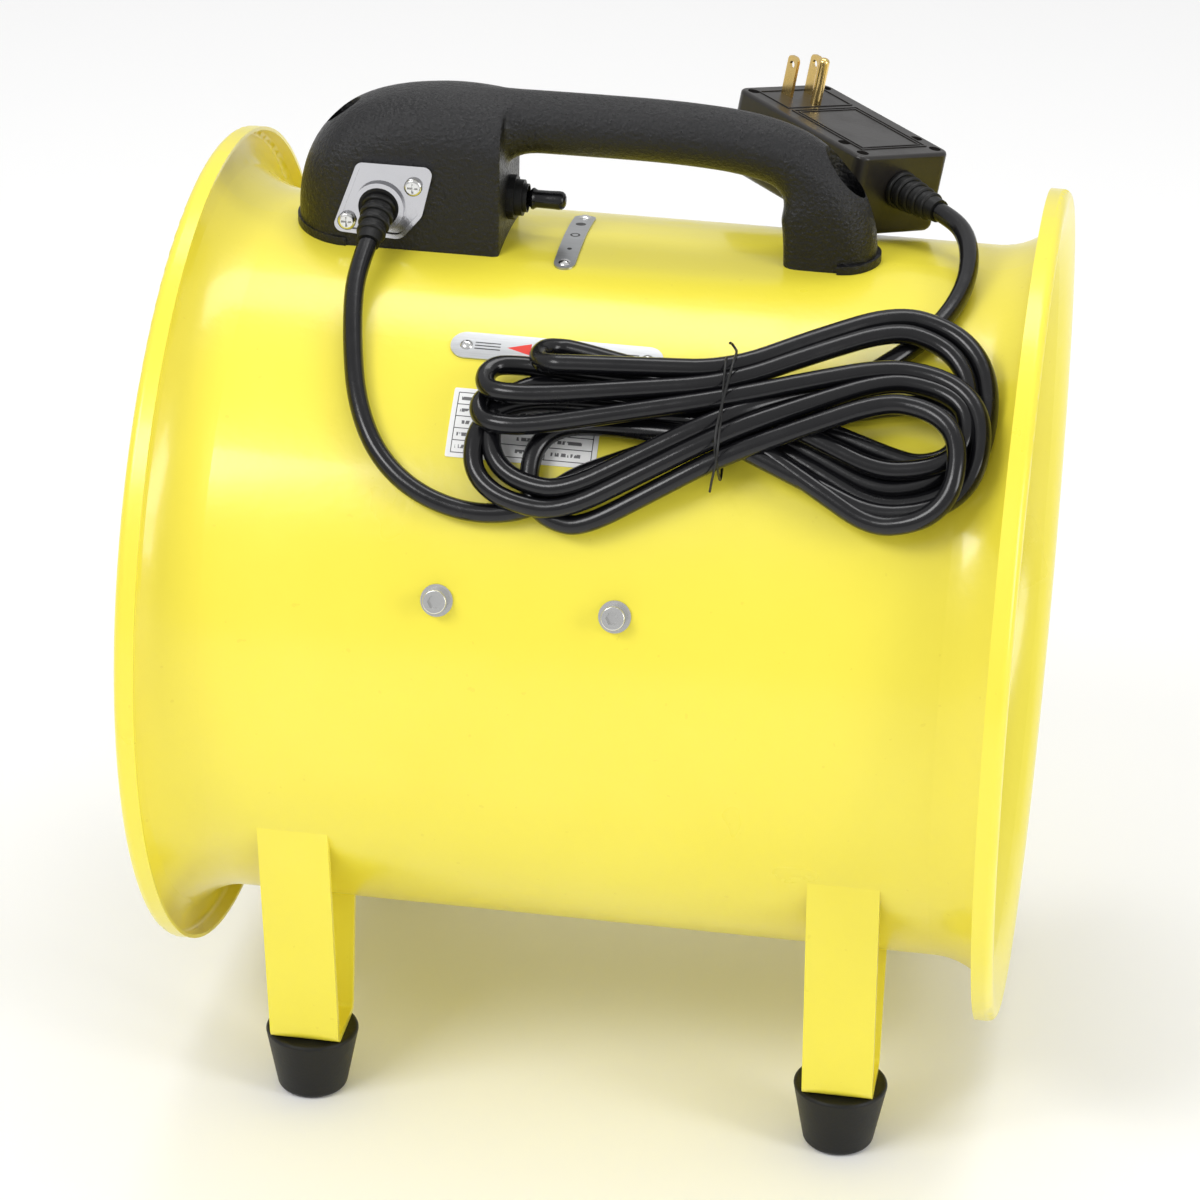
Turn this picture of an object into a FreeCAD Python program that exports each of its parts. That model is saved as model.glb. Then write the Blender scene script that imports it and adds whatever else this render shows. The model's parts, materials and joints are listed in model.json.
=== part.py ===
import FreeCAD, Part
import math
import os

# A portable tube-axial air mover: a steel barrel on four strap legs, with a fan wheel and
# motor inside, a moulded handle that houses the speed switch, and a tied mains cord.
# Millimetres. The origin is on the floor under the middle of the barrel, +X runs along
# the barrel, +Y away from the cord side and +Z up.

V = FreeCAD.Vector
ALONG = V(1, 0, 0)
UP = V(0, 0, 1)

# Barrel
barrel_bore = 300.0
barrel_wall = 1.5
barrel_length = 357.0
flare_height = 25.5
flare_root_radius = 32.0
hem_bend = 3.0
hem_width = 5.0
axis_height = 212.0

# Legs and feet
leg_spacing_x = 230.0
leg_spacing_y = 202.0
strap_width = 30.0
strap_thickness = 3.0
strap_flat = 28.0
strap_bend = 4.0
outer_strap_lean = 9.5
inner_strap_lean = 5.0
foot_height = 29.5
foot_top_radius = 20.3
foot_base_radius = 14.7
foot_screw = 6.0
foot_recess_radius = 8.5
foot_recess_depth = 12.0

# Handle, heights taken above the barrel's axis
housing_left = -139.5
housing_right = -51.0
housing_crown = 214.3
housing_side = 24.6
housing_shoulder = 16.0
housing_wall = 4.0
flange_height = 4.5
switch_room_width = 38.0
switch_room_top = 197.0
grip_diameter = 26.0
grip_bend = 31.0
leg_x = 84.5
leg_length = 38.0
leg_width = 30.0
handle_screw = 6.0
handle_nut_height = 3.0
pocket_radius = 6.8
left_pocket_x = -121.0
right_pocket_x = 91.0
pocket_floor = 163.0

# Toggle switch
toggle_height = 167.0
toggle_bush_radius = 6.0
toggle_nut_radius = 9.5
toggle_pivot_x = -48.0
toggle_lever_radius = 3.6
toggle_lever_reach = 21.0
toggle_ball_radius = 4.7
toggle_ball_gap = 0.6
toggle_pin_radius = 1.5
switch_body_length = 29.0
switch_body_width = 18.0
switch_body_height = 28.0
switch_body_drop = 12.5

# Cord outlet on the handle
relief_plate_x = -100.8
relief_plate_z = 168.5
relief_plate_thickness = 2.0
relief_collar_radius = 8.5
cord_diameter = 8.0
relief_screw = 4.0
relief_screw_length = 8.0
relief_root_radius = 7.5
cord_grip_wall = 0.9

# Plates and label on the barrel, angles taken down from the top of the near flank
plate_thickness = 0.8
rivet_radius = 1.5
rivet_length = 5.0
direction_plate_x = -17.2
direction_plate_angle = 30.0
direction_plate_length = 87.0
direction_plate_width = 13.0
switch_plate_x = -23.0
switch_plate_length = 60.0
switch_plate_width = 9.0
rating_label_x = -25.0
rating_label_angle = 43.4
rating_label_length = 61.0
rating_label_width = 30.0
label_thickness = 0.3

# Motor
motor_x = -16.6
motor_length = 112.0
motor_radius = 62.0
motor_wall = 2.0
stator_length = 60.0
rotor_radius = 34.0
air_gap = 0.4
shaft_diameter = 15.0
bearing_outer_radius = 17.5
bearing_width = 11.0
running_clearance = 0.05
bell_thickness = 4.0
through_bolt_circle = 54.0
through_bolt_radius = 2.5
capacitor_radius = 17.5
capacitor_length = 62.0
capacitor_angle = -30.0

# Motor struts
strut_angles = (71.0, -71.0, 180.0)
strut_length = 92.0
strut_width = 24.0
strut_thickness = 2.5
strut_bolt_spacing = 72.0
strut_bolt = 6.0

# Fan wheel
fan_x = 82.0
fan_tip_gap = 6.0
blade_count = 5
blade_thickness = 2.5
hub_radius = 46.0
hub_length = 50.0
hub_wall = 4.0

# Wire guards
guard_x = 146.0
guard_wire = 3.0
guard_spoke = 4.0
guard_ring_step = 20.0
guard_rings = 7
guard_spokes = 8
guard_clip_count = 4
guard_wall_gap = 4.0
guard_screw = 5.0
tab_thickness = 1.5
tab_bend = 2.0
tab_foot = 10.0
tab_width = 14.0

# Plug with residual-current protection
plug_centre = V(79.4, 74.0, 396.6)
plug_turn = FreeCAD.Rotation(-45.0, 3.1, -9.2)
plug_length = 86.0
plug_width = 50.0
plug_thickness = 36.0
plug_front_thickness = 13.0
plug_wall = 2.5
prong_x = -31.5
blade_spacing = 12.7
blade_length = 17.5
pin_length = 20.6
button_size = (12.0, 8.0)
plug_relief_length = 26.0
plug_relief_depth = -15.0

# Coiled cord: points of the two free leads, and the lobes of the tied hank
hank_angle = 41.0
hank_inner = 154.2
hank_outer = 177.0
tie_x = 56.0
tie_wire = 1.2

# Lead from the switch down to the motor
inner_lead_diameter = 7.0
grommet_radius = 8.0
grommet_lip = 2.0
lead_x = -66.0
motor_gland_x = -58.0
motor_gland_height = 9.0

barrel_inner = barrel_bore / 2.0
barrel_outer = barrel_inner + barrel_wall
rim_radius = barrel_outer + flare_height
axis = V(0, 0, axis_height)

# Each lead's points are hand chosen: down the flank from the handle, and from the plug.
handle_lead = [
    V(-101.8, -43.5, 371.1),
    V(-103.4, -55.5, 364.6),
    V(-102.6, -69.5, 356.0),
    V(-98.6, -88.5, 342.2),
    V(-93.3, -105.3, 328.6),
    V(-84.3, -118.4, 315.2),
    V(-71.3, -127.0, 305.0),
    V(-54.9, -131.8, 298.4),
    V(-36.2, -133.4, 295.9),
    V(-17.0, -131.2, 299.2),
]
plug_lead = [
    V(125.1, 24.9, 378.1),
    V(133.4, 16.6, 377.4),
    V(139.4, 4.9, 375.1),
    V(142.3, -10.5, 371.7),
    V(142.2, -27.0, 367.2),
    V(138.2, -44.5, 362.3),
    V(130.2, -60.6, 357.0),
    V(119.0, -72.6, 351.6),
]


# --- helpers -------------------------------------------------------------------------

def cylinder(radius, length, base, direction=UP):
    return Part.makeCylinder(radius, length, base, direction)


def line(start, end):
    return Part.LineSegment(start, end).toShape()


def closed_face(edges):
    return Part.Face(Part.Wire(Part.__sortEdges__(edges)))


def around(shape, angle):
    """Turn a shape made on top of the barrel down the near flank by an angle."""
    turned = shape.copy()
    turned.rotate(axis, ALONG, angle)
    return turned


def top(x, y, height):
    """A point above the barrel's axis."""
    return V(x, y, axis_height + height)


def strip(start, heading, moves, thickness, place):
    """Face of a bent sheet seen edge on: a move is a length or a (radius, turn) bend."""
    left = []
    right = []
    u, v = start
    angle = math.radians(heading)
    for move in moves:
        if isinstance(move, tuple):
            radius, turn = move[0], math.radians(move[1])
            side = math.copysign(1.0, turn)
            centre_u = u - side * radius * math.sin(angle)
            centre_v = v + side * radius * math.cos(angle)

            def on_bend(offset, a):
                reach = side * radius - offset
                return place(centre_u + reach * math.sin(a), centre_v - reach * math.cos(a))

            for edges, offset in ((left, thickness / 2.0), (right, -thickness / 2.0)):
                ends = [on_bend(offset, angle + turn * share) for share in (0.0, 0.5, 1.0)]
                edges.append(Part.Arc(*ends).toShape())
            angle += turn
            u = centre_u + side * radius * math.sin(angle)
            v = centre_v - side * radius * math.cos(angle)
        else:
            along_u, along_v = move * math.cos(angle), move * math.sin(angle)
            for edges, offset in ((left, thickness / 2.0), (right, -thickness / 2.0)):
                edge_u = u - offset * math.sin(angle)
                edge_v = v + offset * math.cos(angle)
                edges.append(line(place(edge_u, edge_v), place(edge_u + along_u, edge_v + along_v)))
            u, v = u + along_u, v + along_v
    caps = [
        line(left[0].Vertexes[0].Point, right[0].Vertexes[0].Point),
        line(left[-1].Vertexes[-1].Point, right[-1].Vertexes[-1].Point),
    ]
    return closed_face(left + right + caps)


def rounded_line(points, place, closed):
    """Wire through points given as (u, v, corner radius), its corners rounded by tangent arcs."""
    edges = []
    ends = []
    count = len(points)
    for i, (u, v, radius) in enumerate(points):
        corner = place(u, v)
        if radius == 0:
            ends.append((corner, corner))
            continue
        way_in = place(*points[i - 1][:2]) - corner
        way_out = place(*points[(i + 1) % count][:2]) - corner
        half = way_in.getAngle(way_out) / 2.0
        tangent = radius / math.tan(half)
        way_in.normalize()
        way_out.normalize()
        start = corner + way_in * tangent
        end = corner + way_out * tangent
        inward = (way_in + way_out).normalize()
        middle = corner + inward * (radius / math.sin(half) - radius)
        edges.append(Part.Arc(start, middle, end).toShape())
        ends.append((start, end))
    for i in range(0 if closed else 1, count):
        edges.append(line(ends[i - 1][1], ends[i][0]))
    return Part.Wire(Part.__sortEdges__(edges))


def stadium(length, width, place):
    """Face with round ends, long along the first coordinate."""
    radius = width / 2.0
    half = length / 2.0 - radius
    edges = [
        line(place(-half, radius), place(half, radius)),
        line(place(-half, -radius), place(half, -radius)),
        Part.Arc(place(half, radius), place(half + radius, 0), place(half, -radius)).toShape(),
        Part.Arc(place(-half, radius), place(-half - radius, 0), place(-half, -radius)).toShape(),
    ]
    return closed_face(edges)


def rounded_box(length, width, height, centre, corner):
    """Box with round vertical corners, centred over its base point."""
    box = Part.makeBox(length, width, height, centre - V(length / 2.0, width / 2.0, 0))
    upright = [e for e in box.Edges if abs(e.tangentAt(e.FirstParameter).z) > 0.99]
    return box.makeFillet(corner, upright)


def hexagon(across_flats, height, base, direction=UP):
    radius = across_flats / math.sqrt(3.0)
    corners = [V(radius * math.cos(math.radians(60 * i)), radius * math.sin(math.radians(60 * i)), 0)
               for i in range(7)]
    prism = Part.Face(Part.makePolygon(corners)).extrude(V(0, 0, height))
    prism.Placement = FreeCAD.Placement(base, FreeCAD.Rotation(UP, direction))
    return prism


def nut(thread, base, direction=UP):
    body = hexagon(thread * 1.65, thread * 0.8, base, direction)
    return body.cut(cylinder(thread / 2.0, thread * 0.8, base, direction))


def washer(thread, base, direction=UP):
    ring = cylinder(thread * 1.1, thread * 0.22, base, direction)
    return ring.cut(cylinder(thread * 0.54, thread * 0.22, base, direction))


def socket_screw(thread, length, under_head, direction):
    """Socket head cap screw: direction points from the tip towards the head."""
    head = cylinder(thread * 0.8, thread * 0.95, under_head, direction)
    head = head.makeFillet(thread * 0.08, [head.Edges[0]])
    key = hexagon(thread * 0.83, thread * 0.5, under_head + direction * thread * 0.5, direction)
    shank = cylinder(thread / 2.0, length, under_head - direction * length, direction)
    return head.cut(key).fuse(shank).removeSplitter()


def cross_screw(thread, length, under_head, direction):
    """Pan head screw with a cross recess."""
    radius = thread * 0.95
    height = thread * 0.6
    head = cylinder(radius, height, V(0, 0, 0))
    head = head.makeFillet(height * 0.55, [head.Edges[0]])
    arm = V(thread * 1.1, thread * 0.22, height)
    for turn in (0, 90):
        slot = Part.makeBox(arm.x, arm.y, arm.z, V(-arm.x / 2.0, -arm.y / 2.0, height * 0.45))
        slot.rotate(V(0, 0, 0), UP, turn)
        head = head.cut(slot)
    screw = head.fuse(cylinder(thread / 2.0, length, V(0, 0, -length)))
    screw.Placement = FreeCAD.Placement(under_head, FreeCAD.Rotation(UP, direction))
    return screw


def group(shapes):
    return Part.makeCompound(shapes)


def cord_tube(points, diameter, name):
    """Tube along straight runs joined by the largest tangent arcs that the runs allow."""
    edges = []
    radii = []
    last = points[0]
    for before, corner, after in zip(points, points[1:], points[2:]):
        run_in = corner - before
        run_out = after - corner
        turn = run_in.getAngle(run_out)
        tangent = 0.45 * min(run_in.Length, run_out.Length)
        radius = tangent / math.tan(turn / 2.0)
        start = corner - run_in * (tangent / run_in.Length)
        end = corner + run_out * (tangent / run_out.Length)
        inward = (start + end) * 0.5 - corner
        depth = radius / math.cos(turn / 2.0) - radius
        middle = corner + inward * (depth / inward.Length)
        edges.append(line(last, start))
        edges.append(Part.Arc(start, middle, end).toShape())
        radii.append(radius)
        last = end
    edges.append(line(last, points[-1]))
    path = Part.Wire(edges)
    section = Part.Wire(Part.makeCircle(diameter / 2.0, points[0], points[1] - points[0]))
    tube = path.makePipeShell([section], True, False)
    length = path.Length
    share = tube.Volume / (math.pi * diameter * diameter / 4.0 * length)
    print(name, "length %.1f" % length, "volume share %.4f" % share,
          "radii", [round(radius) for radius in radii])
    return tube


# --- barrel --------------------------------------------------------------------------

def bolt_hole(thread, x, angle):
    hole = cylinder(thread * 0.55, 20.0, top(x, 0, barrel_inner - 10.0))
    return around(hole, angle)


def strut_bolt_places():
    return [(motor_x + side * strut_bolt_spacing / 2.0, angle)
            for angle in strut_angles for side in (-1, 1)]


def barrel():
    mid_radius = barrel_inner + barrel_wall / 2.0
    eighth = math.radians(45.0)
    rise = rim_radius - barrel_wall / 2.0 - hem_bend - mid_radius
    rim_bend = (rise - flare_root_radius * (1.0 - math.cos(eighth))) / math.sin(eighth)
    flare_length = flare_root_radius * math.sin(eighth) + rim_bend * (1.0 - math.cos(eighth))
    straight = barrel_length - barrel_wall - 2.0 * flare_length
    start = (-barrel_length / 2.0 + barrel_wall / 2.0 + hem_bend + hem_width,
             rim_radius - barrel_wall / 2.0)
    moves = [hem_width, (hem_bend, 90), (rim_bend, 45), (flare_root_radius, 45), straight,
             (flare_root_radius, 45), (rim_bend, 45), (hem_bend, 90), hem_width]
    face = strip(start, 180, moves, barrel_wall, lambda x, r: top(x, 0, r))
    body = face.revolve(axis, ALONG, 360)
    for x, angle in strut_bolt_places():
        body = body.cut(bolt_hole(strut_bolt, x, angle))
    for x in (left_pocket_x, right_pocket_x):
        body = body.cut(bolt_hole(handle_screw, x, 0))
    for x, angle in rivet_places():
        body = body.cut(around(cylinder(rivet_radius, 20.0, top(x, 0, barrel_inner - 10.0)), angle))
    return body.cut(cylinder(grommet_radius, 20.0, top(lead_x, 0, barrel_inner - 10.0)))


# --- legs and feet -------------------------------------------------------------------

def foot_places():
    return {
        "near_left": V(-leg_spacing_x / 2.0, -leg_spacing_y / 2.0, 0),
        "near_right": V(leg_spacing_x / 2.0, -leg_spacing_y / 2.0, 0),
        "far_left": V(-leg_spacing_x / 2.0, leg_spacing_y / 2.0, 0),
        "far_right": V(leg_spacing_x / 2.0, leg_spacing_y / 2.0, 0),
    }


def reach_to_axis(corner, heading):
    """Length from a corner of the strap to the point of its line nearest the axis."""
    away = math.radians(heading)
    return -corner[0] * math.cos(away) + (axis_height - corner[1]) * math.sin(away)


def leg_bracket(place):
    """Strap bent to a U under the barrel; its two ends are welded to the barrel's wall."""
    side = math.copysign(1.0, place.y)
    mid_height = foot_height + strap_thickness / 2.0
    outer = (-leg_spacing_y / 2.0 - strap_flat / 2.0, mid_height)
    inner = (-leg_spacing_y / 2.0 + strap_flat / 2.0, mid_height)
    outer_heading = 90.0 + outer_strap_lean
    inner_heading = 90.0 - inner_strap_lean
    outer_reach = reach_to_axis(outer, outer_heading)
    inner_reach = reach_to_axis(inner, inner_heading)
    outer_turn = 180.0 - outer_heading
    outer_tangent = strap_bend * math.tan(math.radians(outer_turn / 2.0))
    inner_tangent = strap_bend * math.tan(math.radians(inner_heading / 2.0))
    away = math.radians(outer_heading)
    start = (outer[0] + outer_reach * math.cos(away), outer[1] + outer_reach * math.sin(away))
    moves = [outer_reach - outer_tangent, (strap_bend, outer_turn),
             strap_flat - outer_tangent - inner_tangent, (strap_bend, inner_heading),
             inner_reach - inner_tangent]
    near_face = place.x - strap_width / 2.0
    face = strip(start, outer_heading - 180.0, moves, strap_thickness,
                 lambda y, z: V(near_face, -side * y, z))
    strap = face.extrude(V(strap_width, 0, 0))
    strap = strap.cut(cylinder(barrel_outer, barrel_length, top(-barrel_length / 2.0, 0, 0), ALONG))
    return strap.cut(cylinder(foot_screw * 0.55, 20.0, V(place.x, place.y, foot_height - 5.0)))


def rubber_foot(place):
    body = Part.makeCone(foot_base_radius, foot_top_radius, foot_height, place)
    rims = [e for e in body.Edges if e.Closed]
    low = [e for e in rims if e.BoundBox.ZMax < 1.0]
    high = [e for e in rims if e.BoundBox.ZMin > foot_height - 1.0]
    body = body.makeFillet(3.5, low)
    high = [e for e in body.Edges if e.Closed and e.BoundBox.ZMin > foot_height - 1.0]
    body = body.makeFillet(1.5, high)
    body = body.cut(cylinder(foot_recess_radius, foot_recess_depth, place))
    return body.cut(cylinder(foot_screw * 0.5, foot_height, place))


def foot_fasteners():
    pieces = []
    plate_top = foot_height + strap_thickness
    for place in foot_places().values():
        seat = place + V(0, 0, foot_recess_depth)
        grip = plate_top - foot_recess_depth + foot_screw
        pieces.append(socket_screw(foot_screw, grip, seat, V(0, 0, -1)))
        pieces.append(nut(foot_screw, place + V(0, 0, plate_top)))
    return group(pieces)


# --- handle --------------------------------------------------------------------------

def switch_housing():
    """Left end of the handle: an arched box, round in plan at its closed end."""
    low = barrel_outer - 30.0
    side = [(housing_left, low, 0), (housing_left + 10.0, housing_crown - 12.3, 32.0),
            (housing_left + 77.0, housing_crown - 0.1, 60.0), (housing_right, housing_crown, 0),
            (housing_right, low, 0)]
    end = housing_left + 0.1
    plan = [(end, -housing_side, housing_side - 1.0), (housing_right, -housing_side, 0),
            (housing_right, housing_side, 0), (end, housing_side, housing_side - 1.0)]
    profile = Part.Face(rounded_line(side, lambda x, z: top(x, -40.0, z), True)).extrude(V(0, 80.0, 0))
    outline = Part.Face(rounded_line(plan, lambda x, y: top(x, y, low), True)).extrude(V(0, 0, 150.0))
    body = profile.common(outline)
    crown = [e for e in body.Edges if e.BoundBox.ZMin > axis_height + barrel_outer and e.Length > 3.0
             and not (e.BoundBox.XMin > housing_right - 0.1)]
    return body.makeFillet(housing_shoulder, crown)


def grip():
    """Round bar that leaves the housing, bends down at the right and widens to an oval leg."""
    radius = grip_diameter / 2.0
    path = rounded_line(
        [(housing_right - 34.0, housing_crown - radius, 0), (8.0, housing_crown - radius - 0.2, 330.0),
         (leg_x, housing_crown - radius - 17.2, grip_bend), (leg_x, barrel_outer - 26.0, 0)],
        lambda x, z: top(x, 0, z), False)
    start = path.Edges[0]
    section = Part.makeCircle(radius, start.Vertexes[0].Point, start.tangentAt(start.FirstParameter))
    bar = path.makePipeShell([Part.Wire(section)], True, False)

    def oval(height, long, wide):
        wire = Part.Wire(Part.Ellipse(V(0, 0, 0), long / 2.0, wide / 2.0).toShape())
        wire.translate(top(leg_x, 0, height))
        return wire

    knee = oval(barrel_outer + 21.5, grip_diameter + 2.5, grip_diameter + 1.0)
    ankle = oval(barrel_outer - 1.5, leg_length, leg_width)
    sole = oval(barrel_outer - 30.0, leg_length, leg_width)
    taper = Part.makeLoft([knee, ankle], True, True)
    return bar.fuse([taper, Part.makeLoft([ankle, sole], True, True)])


def screw_pocket(x):
    well = cylinder(pocket_radius, 80.0, top(x, 0, pocket_floor))
    return well.fuse(cylinder(handle_screw * 0.55, 60.0, top(x, 0, pocket_floor - 40.0)))


def flange(left, right, half_width, height):
    """Thin foot of the moulding where it meets the barrel, round at its ends."""
    face = stadium(right - left, 2.0 * half_width, lambda u, v: top(u + (left + right) / 2.0, v, 0))
    prism = face.extrude(V(0, 0, barrel_outer + height))
    return prism.common(cylinder(barrel_outer + height, barrel_length, top(-barrel_length / 2.0, 0, 0),
                                 ALONG))


def housing_room():
    """Hollow of the housing, where the switch and its wiring sit."""
    low = barrel_outer - 8.0
    length = housing_right - housing_wall - (left_pocket_x + pocket_radius + housing_wall)
    corner = top(housing_right - housing_wall - length, -switch_room_width / 2.0, low)
    return Part.makeBox(length, switch_room_width, switch_room_top - low, corner)


def handle():
    skin = switch_housing().fuse(grip())
    left_foot = flange(housing_left - 1.0, housing_right + 40.0, housing_side + 0.8, flange_height)
    beyond = Part.makeBox(60.0, 80.0, 60.0, top(housing_right, -40.0, barrel_outer - 30.0))
    skin = skin.fuse(left_foot.cut(beyond))
    half_leg = leg_length / 2.0 + 1.5
    skin = skin.fuse(flange(leg_x - half_leg, leg_x + half_leg, leg_width / 2.0 + 1.4, flange_height))
    skin = skin.cut(housing_room())
    skin = skin.cut(cylinder(toggle_bush_radius + 0.1, 20.0, top(housing_right - 10.0, 0, toggle_height),
                             ALONG))
    outlet = cylinder(relief_collar_radius, 20.0, top(relief_plate_x, -30.0, relief_plate_z), V(0, 1, 0))
    skin = skin.cut(outlet)
    for x in (left_pocket_x, right_pocket_x):
        skin = skin.cut(screw_pocket(x))
    for x, z in relief_screw_places():
        skin = skin.cut(cylinder(relief_screw / 2.0, relief_screw_length + 1.0, top(x, -26.0, z),
                                 V(0, 1, 0)))
    return skin.cut(cylinder(barrel_outer, barrel_length, top(-barrel_length / 2.0, 0, 0), ALONG))


def handle_fasteners():
    pieces = []
    for x in (left_pocket_x, right_pocket_x):
        pieces.append(washer(handle_screw, top(x, 0, pocket_floor)))
        seat = top(x, 0, pocket_floor + handle_screw * 0.22)
        nut_seat = top(x, 0, barrel_inner - 0.3)
        length = seat.z - nut_seat.z + handle_nut_height
        pieces.append(cross_screw(handle_screw, length, seat, UP))
        flat = hexagon(handle_screw * 1.65, handle_nut_height, nut_seat, V(0, 0, -1))
        pieces.append(flat.cut(cylinder(handle_screw / 2.0, handle_nut_height, nut_seat, V(0, 0, -1))))
    return group(pieces)


# --- switch --------------------------------------------------------------------------

def switch_body():
    wall_inside = housing_right - housing_wall
    rear = wall_inside - switch_body_length
    corner = top(rear, -switch_body_width / 2.0, toggle_height - switch_body_drop)
    box = Part.makeBox(switch_body_length, switch_body_width, switch_body_height, corner)
    bush = cylinder(toggle_bush_radius, housing_wall + 6.0, top(wall_inside, 0, toggle_height), ALONG)
    bore = cylinder(toggle_ball_radius + toggle_ball_gap, 30.0, top(wall_inside - 5.0, 0, toggle_height),
                    ALONG)
    terminals = [Part.makeBox(6.0, 1.0, 5.0, top(rear - 6.0, y - 0.5, toggle_height - 2.5))
                 for y in (-6.0, 0.0, 6.0)]
    return box.fuse(bush).cut(bore).fuse(terminals)


def toggle_nut():
    """Sealing boot's nut on the switch's threaded bush, with the boot's stepped collar."""
    face = top(housing_right, 0, toggle_height)
    flat = hexagon(toggle_nut_radius * 1.9, 3.0, face,
                   ALONG).common(cylinder(toggle_nut_radius, 3.0, face, ALONG))
    ring = cylinder(toggle_bush_radius + 1.6, 6.2, face, ALONG)
    collar = cylinder(toggle_bush_radius, 1.8, face + V(6.2, 0, 0), ALONG)
    body = flat.fuse(ring).fuse(collar)
    body = body.cut(cylinder(toggle_bush_radius, 6.0, face, ALONG))
    return body.cut(cylinder(toggle_ball_radius + toggle_ball_gap, 20.0, face, ALONG))


def toggle_lever():
    pivot = top(toggle_pivot_x, 0, toggle_height)
    ball = Part.makeSphere(toggle_ball_radius, pivot)
    pin_reach = toggle_ball_radius + toggle_ball_gap / 2.0
    pin = cylinder(toggle_pin_radius, 2.0 * pin_reach, pivot - UP * pin_reach)
    stem = cylinder(2.3, 10.0, pivot, ALONG)
    sleeve = Part.makeCone(toggle_lever_radius - 0.6, toggle_lever_radius, toggle_lever_reach - 7.5,
                           pivot + V(7.5, 0, 0), ALONG)
    tip = [e for e in sleeve.Edges if e.Closed and e.BoundBox.XMin > pivot.x + toggle_lever_reach - 1.0]
    sleeve = sleeve.makeFillet(toggle_lever_radius * 0.8, tip)
    return ball.fuse([pin, stem, sleeve])


# --- cord outlet ---------------------------------------------------------------------

def relief_screw_places():
    return [(relief_plate_x + 14.3, relief_plate_z + 9.6), (relief_plate_x - 13.5, relief_plate_z - 7.3)]


def relief_plate():
    outline = [(-9.2, 18.8, 3.5), (23.0, 18.8, 3.5), (18.0, -3.0, 6.0), (9.3, -13.8, 6.0),
               (-20.2, -12.0, 3.5)]
    face = Part.Face(rounded_line(
        outline, lambda u, v: top(relief_plate_x + u, -housing_side, relief_plate_z + v), True))
    plate = face.extrude(V(0, -relief_plate_thickness, 0))
    dish = face.makeOffset2D(-1.8).extrude(V(0, -1.0, 0))
    dish.translate(V(0, 1.0 - relief_plate_thickness, 0))
    plate = plate.cut(dish)
    centre = top(relief_plate_x, -housing_side, relief_plate_z)
    plate = plate.fuse(cylinder(relief_collar_radius + 2.0, relief_plate_thickness + 1.0, centre,
                                V(0, -1, 0)))
    plate = plate.cut(cylinder(relief_collar_radius, 10.0, centre + V(0, 2.0, 0), V(0, -1, 0)))
    for x, z in relief_screw_places():
        plate = plate.cut(cylinder(relief_screw * 0.55, 10.0, top(x, -housing_side + 2.0, z), V(0, -1, 0)))
        plate = plate.cut(cylinder(relief_screw + 0.1, 5.0, top(x, relief_screw_seat(), z), V(0, -1, 0)))
    return plate.cut(cord_strain_relief())


def relief_screw_seat():
    return -housing_side - relief_plate_thickness + 1.0


def relief_plate_screws():
    return group([cross_screw(relief_screw, relief_screw_length, top(x, relief_screw_seat(), z),
                              V(0, -1, 0))
                  for x, z in relief_screw_places()])


def ribbed_sleeve(length, root_radius, tip_radius, ribs):
    """Flexible sleeve along +Z from the origin, thick at its root, with ribs round it."""
    sleeve = Part.makeCone(root_radius * 0.86, tip_radius, length, V(0, 0, 0))
    pitch = length / (ribs + 0.5)
    for i in range(ribs):
        outer = root_radius + (tip_radius + 0.8 - root_radius) * i / ribs
        ring = cylinder(outer, pitch * 0.55, V(0, 0, pitch * i))
        sleeve = sleeve.fuse(ring.makeFillet(pitch * 0.2, [e for e in ring.Edges if e.Closed]))
    return sleeve


def cord_strain_relief():
    root = top(relief_plate_x, -housing_side, relief_plate_z)
    exit_way = handle_lead[0] - root
    sleeve = ribbed_sleeve(exit_way.Length, relief_root_radius, cord_diameter / 2.0 + cord_grip_wall, 4)
    sleeve.Placement = FreeCAD.Placement(root, FreeCAD.Rotation(UP, exit_way))
    seat = cylinder(relief_collar_radius, 9.0, root + V(0, -2.0, 0), V(0, 1, 0))
    tip = cylinder(50.0, 50.0, handle_lead[0], exit_way)
    return sleeve.fuse(seat).cut(tip)


def inner_lead():
    points = [top(lead_x, 0, toggle_height - switch_body_drop), top(lead_x, 0, barrel_inner - 28.0),
              top(motor_gland_x, 0, motor_radius + motor_gland_height + 24.0),
              top(motor_gland_x, 0, motor_radius + motor_gland_height)]
    return cord_tube(points, inner_lead_diameter, "motor lead")


def lead_grommet():
    low = top(lead_x, 0, barrel_inner - grommet_lip)
    body = cylinder(grommet_radius, barrel_wall + 2.0 * grommet_lip, low)
    body = body.fuse(cylinder(grommet_radius + 2.0, grommet_lip - 0.3, low))
    return body.cut(cylinder(inner_lead_diameter / 2.0, 30.0, low - V(0, 0, 5.0)))


# --- plates and label ----------------------------------------------------------------

def skin_patch(face, thickness):
    """Part of the barrel's surface that a flat outline above it covers."""
    column = face.extrude(V(0, 0, barrel_outer + 20.0))
    ends = top(-barrel_length / 2.0, 0, 0)
    shell = cylinder(barrel_outer + thickness, barrel_length, ends, ALONG)
    return column.common(shell.cut(cylinder(barrel_outer, barrel_length, ends, ALONG)))


def plate_rivet(place):
    head = Part.makeSphere(3.4, place - V(0, 0, 2.2))
    slab = Part.makeBox(10.0, 10.0, 3.0, place - V(5.0, 5.0, 0))
    return head.common(slab).fuse(cylinder(rivet_radius, rivet_length, place - V(0, 0, rivet_length)))


def direction_plate():
    plate = skin_patch(stadium(direction_plate_length, direction_plate_width,
                               lambda u, v: top(direction_plate_x + u, v, 0)), plate_thickness)
    for x in direction_rivet_places():
        plate = plate.cut(cylinder(rivet_radius, 20.0, top(x, 0, barrel_outer - 5.0)))
    return around(plate, direction_plate_angle)


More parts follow.
